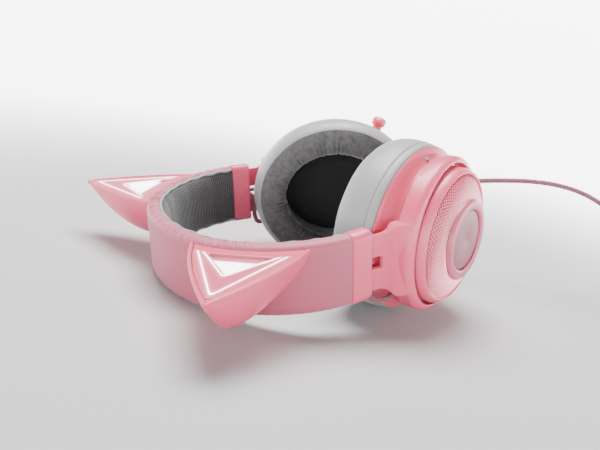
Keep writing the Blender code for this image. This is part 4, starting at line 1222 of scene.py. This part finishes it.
def run_tree(piece, tree, keys, values):
    """Puts the tree on a piece with the values of its inputs."""
    change = piece.modifiers.new(tree.name, "NODES")
    change.node_group = tree
    for key, value in zip(keys, values):
        change[key] = value


def perforate(piece, finish, hole_share, depth):
    """Opens a hole in every face of a sheet and gives the bars a thickness."""
    tree, keys = geometry_tree("perforate", ("Geometry", "Geometry"), ("Hole Share", "Float"))
    given, result = tree.nodes.new("NodeGroupInput"), tree.nodes.new("NodeGroupOutput")
    inset = geometry_node(tree, "ExtrudeMesh", {"Offset Scale": 0.0, "Individual": True}, mode="FACES")
    shrink = geometry_node(tree, "ScaleElements", domain="FACE")
    drop = geometry_node(tree, "DeleteGeometry", domain="FACE")
    weld = geometry_node(tree, "MergeByDistance", {"Distance": 0.00001})
    realize = geometry_node(tree, "RealizeInstances")
    paint = geometry_node(tree, "SetMaterial", {"Material": finish})
    wire(tree, (given, "Geometry", inset, "Mesh"), (inset, "Mesh", shrink, "Geometry"),
         (inset, "Top", shrink, "Selection"), (given, "Hole Share", shrink, "Scale"),
         (shrink, "Geometry", drop, "Geometry"), (inset, "Top", drop, "Selection"),
         (drop, "Geometry", weld, "Geometry"), (weld, "Geometry", realize, "Geometry"),
         (realize, "Geometry", paint, "Geometry"), (paint, "Geometry", result, "Geometry"))
    run_tree(piece, tree, keys[1:], [hole_share])
    thick = piece.modifiers.new("bars", "SOLIDIFY")
    thick.thickness = depth * MM
    thick.offset = -1.0
    settle(piece)


def make_grille(name, side, finish, diffuser):
    """The perforated dome and the glowing diffuser behind it."""
    lattice = lattice_sheet(name, side, finish)
    perforate(lattice, finish, LATTICE_HOLE, LATTICE_BAR)
    fit(lattice, "cup_" + name, "cup_grille_" + name)
    radii = np.linspace(DISC_R - 3.0, MESH_R - 0.4, 14)
    front = [(r, dome_height(r) - 0.9) for r in radii]
    back = [(r, dome_height(r) - 1.8) for r in radii[::-1]]
    section = circle_profile(front + back)
    grid = oval_ring(section, side, 96)
    share = (MESH_R - np.hypot(grid[:, :, 0], grid[:, :, 2])) / (MESH_R - DISC_R)
    white = glow_share(share, np.arctan2(grid[:, :, 2], grid[:, :, 0]))
    cup_ring("diffuser", name, side, section, diffuser, 96, marks={"white": white})


def make_disc(name, side, pink, plate):
    """The raised centre disc: a bevelled rim round a sunk bare plate."""
    under = MESH_S + 4.6
    rim = [(DISC_RECESS_R + 0.2, under), (DISC_R, under), (DISC_R, DISC_S - 1.3),
           (DISC_R - 1.0, DISC_S - 0.2),
           (DISC_R - 2.0, DISC_S), (DISC_RECESS_R + 1.4, DISC_S), (DISC_RECESS_R + 0.3, DISC_S - 0.5),
           (DISC_RECESS_R + 0.2, DISC_S - 1.3)]
    cup_ring("disc_rim", name, side, softened(circle_profile(rim), 0.45, 4), pink, 160, ["centre_disc"])
    face = [(0.02, DISC_S - 0.95), (DISC_RECESS_R - 0.6, DISC_S - 1.0), (DISC_RECESS_R, DISC_S - 1.3),
            (DISC_RECESS_R + 0.1, DISC_S - 2.2), (0.02, DISC_S - 2.2)]
    cup_ring("disc_plate", name, side, softened(circle_profile(face), 0.4, 3), plate, 128)


def make_cushion(name, side, finishes):
    """The ear cushion: leatherette wall with its seam, gathered cloth face and smooth inner wall."""
    back = CUP_SEAT + 1.7
    wall = [(46.9, 41.4, back - 0.2), (49.6, 44.0, back + 0.05), (50.7, 45.3, back - 0.5),
            (51.2, 46.2, back - 2.2),
            (51.4, 46.5, back - 4.3), (51.05, 46.2, back - 4.65), (51.45, 46.7, back - 5.0),
            (51.9, 47.2, back - 9.0),
            (51.9, 47.3, back - 13.0), (51.2, 46.7, back - 17.5), (49.7, 45.2, back - 21.2),
            (48.2, 43.8, back - 22.9),
            (47.5, 43.1, CUSHION_FACE + 0.05)]
    face = [(46.9, 42.5, CUSHION_FACE + 0.1), (45.4, 41.0, CUSHION_FACE - 0.5),
            (42.0, 37.4, CUSHION_FACE - 1.1),
            (38.2, 33.5, CUSHION_FACE - 1.1), (35.0, 30.2, CUSHION_FACE - 0.4),
            (32.9, 28.2, CUSHION_FACE + 1.2),
            (31.9, 27.2, CUSHION_FACE + 3.6)]
    inner = [(31.5, 26.8, CUSHION_FACE + 4.4), (31.9, 27.2, CUSHION_FACE + 10.0),
             (32.6, 27.9, CUSHION_FACE + 16.0),
             (33.3, 28.6, CUP_SEAT), (46.9, 41.4, CUP_SEAT)]
    wall_rows = dense(wall, 0.9)
    face_rows = dense(face, 0.8)
    inner_rows = dense(inner, 1.2)
    profile = np.array(wall_rows + face_rows + inner_rows)
    segments = 420
    grid = oval_ring(profile, side, segments)
    turns = np.linspace(0, 2 * pi, segments, endpoint=False)
    seed = 40 if side > 0 else 60
    gathers = periodic_waves(turns, seed, 24, 66, 14)
    ridges = np.abs(gathers) ** 0.8
    slow = periodic_waves(turns, seed + 1, 3, 14, 8)
    wall_folds = periodic_waves(turns, seed + 2, 9, 30, 8)
    count_wall, count_face = len(wall_rows), len(face_rows)
    fold = np.zeros(grid.shape[:2])
    outward = np.stack([np.cos(turns), np.zeros(segments), np.sin(turns)], axis=1)
    axial = np.array([0.0, side, 0.0])
    for j in range(len(profile)):
        if j < count_wall:
            share = j / count_wall
            swell = 0.16 * slow * share + 0.13 * wall_folds * max(0.0, share - 0.45)
            grid[:, j] += outward * swell[:, None]
        elif j < count_wall + count_face:
            share = (j - count_wall) / count_face
            deep = share ** 1.6
            crease = (0.95 * ridges - 0.35) * deep + 0.25 * slow * sin(pi * share)
            grid[:, j] += axial * crease[:, None] * 1.35
            grid[:, j] += outward * (0.22 * gathers * deep)[:, None]
            # painted shade for the cloth: strongest in the deep creases of the gathers and towards the ear
            # hole
            fold[:, j] = np.clip((ridges - 0.55) * 1.4, 0, 1) * deep + 0.35 * share ** 3
        else:
            fade = exp(-(j - count_wall - count_face) / 2.5)
            grid[:, j] += outward * ((0.22 * slow) * (1 - fade) + 0.22 * gathers * fade)[:, None]
            grid[:, j] += axial * ((0.95 * ridges - 0.35) * 1.35 * fade)[:, None]
    cushion = skin("cushion_" + name, grid, cup_frame(name, side), finishes[0], close_rows=True,
                   close_columns=True,
                   marks={"fold": fold}, smooth=55.0)
    cushion.data.materials.append(finishes[1])
    cushion.data.materials.append(finishes[2])
    columns = len(profile)
    spots = [[vertex % columns for vertex in polygon.vertices] for polygon in cushion.data.polygons]
    lowest, highest = np.array([min(spot) for spot in spots]), np.array([max(spot) for spot in spots])
    zone = np.where(lowest < count_wall - 1, 0, np.where(lowest < count_wall + count_face - 1, 1, 2))
    zone = np.where(highest - lowest > 2, 0, zone)
    cushion.data.polygons.foreach_set("material_index", zone.astype(np.int32))
    fit(cushion, "cup_" + name, "ear_cushion_" + name)


def dense(points, gap):
    """A smooth open curve through the points, with a point every so often."""
    route = [Vector(point) for point in points]
    result = []
    for span in spans(route):
        count = max(1, round((span[2] - span[1]).length / gap))
        result += [tuple(on_span(*span, step / count)) for step in range(count)]
    return result + [tuple(route[-1])]


def periodic_waves(turns, seed, slowest, fastest, count):
    """An uneven wave that closes on itself round a full turn."""
    random = np.random.RandomState(seed)
    total = np.zeros_like(turns)
    for _ in range(count):
        rate = random.randint(slowest, fastest + 1)
        total += random.uniform(0.4, 1.0) * np.sin(rate * turns + random.uniform(0, 2 * pi))
    return total / sqrt(count)


def make_driver_cloth(name, side, cloth):
    """Black cloth over the driver, slightly domed, with the ring of the driver's frame showing."""
    front = CUP_SEAT - 2.3
    radii = np.linspace(0.0004, 1.0, 40)
    top = [(EAR_HOLE_X * r, EAR_HOLE_Z * r,
            front - 0.7 * (1 - r * r) - 0.25 * np.exp(-((r - 0.72) / 0.05) ** 2)) for r in radii]
    low = [(EAR_HOLE_X, EAR_HOLE_Z, front + 0.7), (0.012, 0.011, front + 0.7)]
    cup_ring("speaker_cloth", name, side, top + low, cloth, 96, ["driver_cloth"], smooth=60.0)


# ---------------------------------------------------------------- small pieces


def make_screw_plug(name, side, grey):
    out = Vector((0.0, side * 0.62, 0.78)).normalized()
    place = Vector((-1.0, side * (FLANGE_S + 3.3), THROAT_Z + 2.8))
    matrix = cup_frame(name, side)
    pairs = [(0.02, -0.9), (1.3, -0.9), (1.3, 0.6), (1.1, 0.85), (0.5, 0.95), (0.02, 0.95)]
    start, end = matrix @ (place), matrix @ (place + out)
    plug = lathe("plug_dot_" + name, pairs, start, end, grey, 32)
    return fit(plug, "cup_" + name, "screw_plug_" + name)


def mic_point(along):
    slope = radians(MIC_SLOPE)
    return cup_frame("left", 1) @ Vector((MIC_X + along * sin(slope), MIC_S, MIC_Z + along * cos(slope)))


def make_microphone(pink, rubber, red):
    """The stowed boom, its tip with a chamfered cap, and the red ring that glows when muted."""
    start, end = mic_point(0), mic_point(1)
    boom = [(0.02, MIC_BOOM_END), (2.4, MIC_BOOM_END), (MIC_BOOM_R, MIC_BOOM_END + 0.8)]
    for rib in range(12):
        at = -56.0 + 4.2 * rib
        boom += [(MIC_BOOM_R, at), (2.55, at + 0.3), (2.55, at + 0.9), (MIC_BOOM_R, at + 1.2)]
    boom += [(MIC_BOOM_R, MIC_OUT - 0.05), (0.02, MIC_OUT - 0.05)]
    fit(lathe("boom", boom, start, end, rubber, 32), "microphone", "mic_boom")
    collar = [(2.82, -6.0), (2.95, -5.8), (2.95, MIC_OUT), (2.82, MIC_OUT)]
    fit(lathe("boom_collar", collar, start, end, pink, 40), "microphone")
    at = MIC_OUT + 0.3
    ring = [(0.02, at), (MIC_TIP_R - 0.5, at), (MIC_TIP_R - 0.1, at + 0.4), (MIC_TIP_R - 0.1, at + 1.7),
            (0.02, at + 2.0)]
    fit(lathe("red_ring", ring, start, end, red, 48), "microphone", "mic_light_ring")
    at += MIC_RING_LONG + 0.3
    cap = [(0.02, at), (MIC_TIP_R, at), (MIC_TIP_R + 0.1, at + 0.5), (MIC_TIP_R, at + 1.3),
           (MIC_TIP_R - 1.5, at + 2.7),
           (MIC_TIP_R - 2.0, at + 2.8), (0.02, at + 2.8)]
    fit(lathe("mic_cap", cap, start, end, pink, 48), "microphone", "mic_tip")


def oval_point(angle, s):
    turn = radians(angle)
    return Vector(((THROAT_X + 3.0) * cos(turn), s, -(THROAT_Z + 1.6) * sin(turn)))


def make_controls(grey):
    """The knurled volume wheel and the dished mute button on the back of the left cup."""
    matrix = cup_frame("left", 1)
    face = oval_point(WHEEL_TURN, CONTROL_S)
    centre = face + Vector((face.x, 0, face.z)).normalized() * (1.8 - 8.0)
    pairs = [(0.02, -1.8), (6.9, -1.8), (WHEEL_R, -1.3), (WHEEL_R, 1.3), (6.9, 1.8), (0.02, 1.8)]
    wheel = lathe("wheel", pairs, matrix @ centre, matrix @ (centre + Vector((0, 1, 0))), grey, 72)
    ribs = knurl(matrix @ Matrix.Translation(centre), WHEEL_R, 48, 2.6, grey)
    fit(wheel, "volume_wheel", "volume_wheel")
    fit(ribs, "volume_wheel")
    place = oval_point(BUTTON_TURN, CONTROL_S)
    out = Vector((place.x, 0, place.z)).normalized()
    dish = [(0.02, -3.6), (3.1, -3.6), (3.1, 0.9), (2.8, 1.25), (2.4, 1.3), (1.6, 1.05), (0.02, 0.9)]
    button = lathe("button", dish, matrix @ place, matrix @ (place + out), grey, 48)
    fit(button, "mute_button", "mute_button")


def knurl(matrix, radius, count, length, finish):
    """Small ribs round a wheel, set out on a circle of points with Geometry Nodes."""
    tree, keys = geometry_tree("knurl", ("Count", "Int"), ("Radius", "Float"), ("Length", "Float"))
    given, result = tree.nodes.new("NodeGroupInput"), tree.nodes.new("NodeGroupOutput")
    circle = geometry_node(tree, "MeshCircle")
    rib = geometry_node(tree, "MeshCylinder", {"Vertices": 8, "Radius": 0.32 * MM})
    spread = geometry_node(tree, "InstanceOnPoints")
    realize = geometry_node(tree, "RealizeInstances")
    paint = geometry_node(tree, "SetMaterial", {"Material": finish})
    wire(tree, (given, "Count", circle, "Vertices"), (given, "Radius", circle, "Radius"),
         (given, "Length", rib, "Depth"), (circle, "Mesh", spread, "Points"),
         (rib, "Mesh", spread, "Instance"),
         (spread, "Instances", realize, "Geometry"), (realize, "Geometry", paint, "Geometry"),
         (paint, "Geometry", result, "Geometry"))
    made = bpy.data.objects.new("wheel_ribs", bpy.data.meshes.new("ribs"))
    bpy.context.scene.collection.objects.link(made)
    run_tree(made, tree, keys, [count, radius * MM, length * MM])
    settle(made)
    upright = matrix @ Matrix.Rotation(radians(90.0), 4, "X")
    upright.translation = upright.translation * MM
    made.data.transform(upright)
    return made


def make_strain_relief(rubber):
    """The ribbed, tapered sleeve where the cable leaves the cup."""
    matrix = cup_frame("left", 1)
    start = matrix @ Vector((33.8, -4.4, 0.0))
    end = matrix @ Vector((34.8, -4.4, 0.0))
    pairs = [(0.02, 0.0), (3.6, 0.0), (3.6, 1.0), (2.4, 1.0), (2.4, 12.6)]
    for rib in range(5):
        at = 13.0 + 2.0 * rib
        wide = 2.45 - 0.09 * rib
        pairs += [(wide, at), (wide, at + 1.1), (wide - 0.45, at + 1.2), (wide - 0.45, at + 1.9)]
    pairs += [(2.0, 23.2), (2.0, 24.2), (0.02, 24.2)]
    fit(lathe("cable_sleeve", pairs, start, end, rubber, 40), "cup_left", "strain_relief")


def make_loop(name, side, braid):
    """The short braided cable from the cap to the cup."""
    cap_x = band_point(BAND_END, BAND_THICK, 0.0)[0]
    route = [(cap_x + 0.2, 66.0, -1.4), (cap_x + 1.4, 66.0, -3.0), (cap_x + 2.9, 66.0, -5.5),
             (cap_x + 2.9, 66.0, -11.0),
             (cap_x + 3.3, 66.2, -17.5), (-49.8, 67.0, -21.8), (-44.6, 67.8, -23.2), (-40.2, 66.8, -23.8),
             (-36.6, 64.6, -24.0)]
    points = smooth_route([Vector((x, side * y, z)) for x, y, z in route], 0.6)
    loop = tube("short_cable_" + name, points, LOOP_R, braid, head_frame(), 14)
    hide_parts("cable_loop_" + name)
    head = head_frame()
    first, last = head @ Vector((cap_x + 3, side * 66, -8)), head @ Vector((-42, side * 66, -8))
    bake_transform(loop)


def make_slot_cable(name, side, braid):
    """The braided lead that shows through the slot of the slider arm."""
    route = [Vector((x, side * (ARM_OUT - 1.7), 0.4)) for x in np.linspace(SLOT_TOP_X + 3, SLOT_END_X - 4.5,
                                                                           40)]
    lead = tube("slot_lead_" + name, route, 1.15, braid, head_frame(), 12)
    fit(lead, "slider_" + name)


# ---------------------------------------------------------------- CAD pieces that show, and the studio


def repaint_inner_pieces(pink, glow):
    steel = metal("spring_steel")
    board = circuit_board()
    foam = plain_plastic("pad_foam", (0.10, 0.10, 0.105), 0.95, 700.0)
    grey = plain_plastic("baffle_grey", (0.10, 0.10, 0.10), 0.6)
    repaint(steel, "band_spring")
    repaint(foam, "band_foam")
    repaint(board, "sound_board")
    repaint(grey, "mic_guide")
    for name in SIDES:
        repaint(glow, "ear_light_guide_" + name)
        repaint(board, "ear_light_board_" + name, "light_board_" + name)
        repaint(grey, "baffle_" + name)
        repaint(steel, "driver_" + name, "pivot_pin_front_" + name, "pivot_pin_rear_" + name)
        repaint(pink, "pivot_bush_front_" + name, "pivot_bush_rear_" + name)


def make_floor():
    """A round sheet of white paper, flat under the headset and curling up far behind it."""
    rows = [(0.02, 0.0), (0.3, 0.0), (0.6, 0.0), (1.0, 0.0), (PAPER_FLAT, 0.0)]
    rows += [(PAPER_FLAT + PAPER_CURL * sin(turn),
              PAPER_CURL - PAPER_CURL * cos(turn)) for turn in np.linspace(0.15, 1.5, 10)]
    grid = [[(1000 * r * cos(turn), 1000 * r * sin(turn), 1000 * height - 0.4)
             for turn in np.linspace(0, 2 * pi, 96, endpoint=False)] for r, height in rows]
    paper = Finish("studio_paper", 0.95, Emission_Strength=1.0, Specular_IOR_Level=0.1)
    place = paper.place()
    x, y, z = paper.parts(place)
    far = (x * x + y * y + z * z).maths("SQRT").step(0.20, 0.9)
    cloud = paper.noise(place, 3.0, 2.0)
    paper.put("Base Color", paper.blend(far + cloud * 0.05, (0.52, 0.52, 0.525), (0.60, 0.60, 0.605)))
    paper.put("Emission Color", paper.blend(far, (0.0, 0.0, 0.0), (6.0, 6.0, 6.0)))
    floor = skin("floor", grid, Matrix(), paper.material, close_columns=True, smooth=80.0)
    if floor.data.polygons[0].normal.z < 0:
        floor.data.flip_normals()


def soft_light(name, place, aim, size, power, colour=(1.0, 1.0, 1.0)):
    data = bpy.data.lights.new(name, "AREA")
    data.shape = "RECTANGLE"
    data.size, data.size_y = size
    data.energy = power
    data.color = colour
    light = bpy.data.objects.new(name, data)
    light.location = place
    light.rotation_euler = (Vector(aim) - Vector(place)).to_track_quat("-Z", "Y").to_euler()
    bpy.context.scene.collection.objects.link(light)


def light_studio():
    world = bpy.data.worlds.new("studio")
    world.use_nodes = True
    background = world.node_tree.nodes["Background"]
    background.inputs["Color"].default_value = (1.0, 1.0, 1.0, 1.0)
    background.inputs["Strength"].default_value = 0.10
    bpy.context.scene.world = world
    soft_light("top_softbox", (0.05, 0.25, 0.95), (0.0, 0.0, 0.05), (0.7, 0.55), 30.0)
    soft_light("front_fill", (-0.75, -0.75, 0.55), (0.0, 0.0, 0.05), (0.6, 0.5), 0.5)
    soft_light("right_edge", (0.75, -0.35, 0.45), (0.05, 0.0, 0.05), (0.4, 0.5), 0.6)


# ---------------------------------------------------------------- the headset


def band_tool():
    """The space of the headband, cut out of whatever stands on it."""
    angles = np.linspace(-94, 94, 260)
    section = [(-0.05, 30.0), (30.0, 30.0), (30.0, -30.0), (-0.05, -30.0)]
    return skin("band_space", band_grid(angles, [section] * len(angles)), head_frame(),
                bpy.data.materials[0], close_columns=True,
                caps=True)


def main():
    place_camera()
    braid = braided_sleeve()
    make_cable(braid)
    pink = satin_pink()
    rim_pink = satin_pink("rim_pink", (0.73, 0.105, 0.180))
    disc_pink = satin_pink("disc_pink", (0.50, 0.085, 0.145), (0.42, 0.065, 0.115))
    plate_pink = satin_pink("plate_pink", (0.27, 0.05, 0.085), (0.22, 0.04, 0.07))
    grey = plain_plastic("soft_grey", (0.30, 0.30, 0.31), 0.6)
    rubber = plain_plastic("soft_black", (0.020, 0.020, 0.021), 0.6)
    trim = light_leatherette("piping_grey", (0.30, 0.30, 0.315), (0.22, 0.22, 0.23))
    skins = (light_leatherette(), heather_fabric(), light_leatherette("inner_wall_grey", (0.28, 0.28, 0.29),
                                                                      (0.20, 0.20, 0.21)))
    cloth = driver_cloth_finish()
    make_band_cover(pink_leatherette())
    make_pad(knitted_mesh(), trim)
    face_finish = ear_face_finish()
    lattice_pink = grille_finish()
    diffuser = diffuser_finish()
    for name, side in SIDES.items():
        make_end_cap(name, side, pink)
        make_ear_shell(name, side, pink, band_tool())
        make_ear_face(name, side, face_finish, band_tool())
        make_yoke(name, side, pink)
        make_housing(name, side, pink)
        make_cover(name, side, rim_pink)
        make_grille(name, side, lattice_pink, diffuser)
        make_disc(name, side, disc_pink, plate_pink)
        make_cushion(name, side, skins)
        make_driver_cloth(name, side, cloth)
        make_screw_plug(name, side, grey)
        make_loop(name, side, braid)
        make_slot_cable(name, side, braid)
    make_microphone(rim_pink, rubber, lit("red_glow", (0.75, 0.001, 0.001), (1.0, 0.0, 0.0), 0.25))
    make_controls(grey)
    make_strain_relief(plain_plastic("sleeve_grey", (0.16, 0.16, 0.17), 0.7))
    repaint_inner_pieces(pink, lit("ear_glow", (1.0, 0.9, 0.93), (1.0, 0.85, 0.9), 1.5))
    make_floor()
    light_studio()


main()
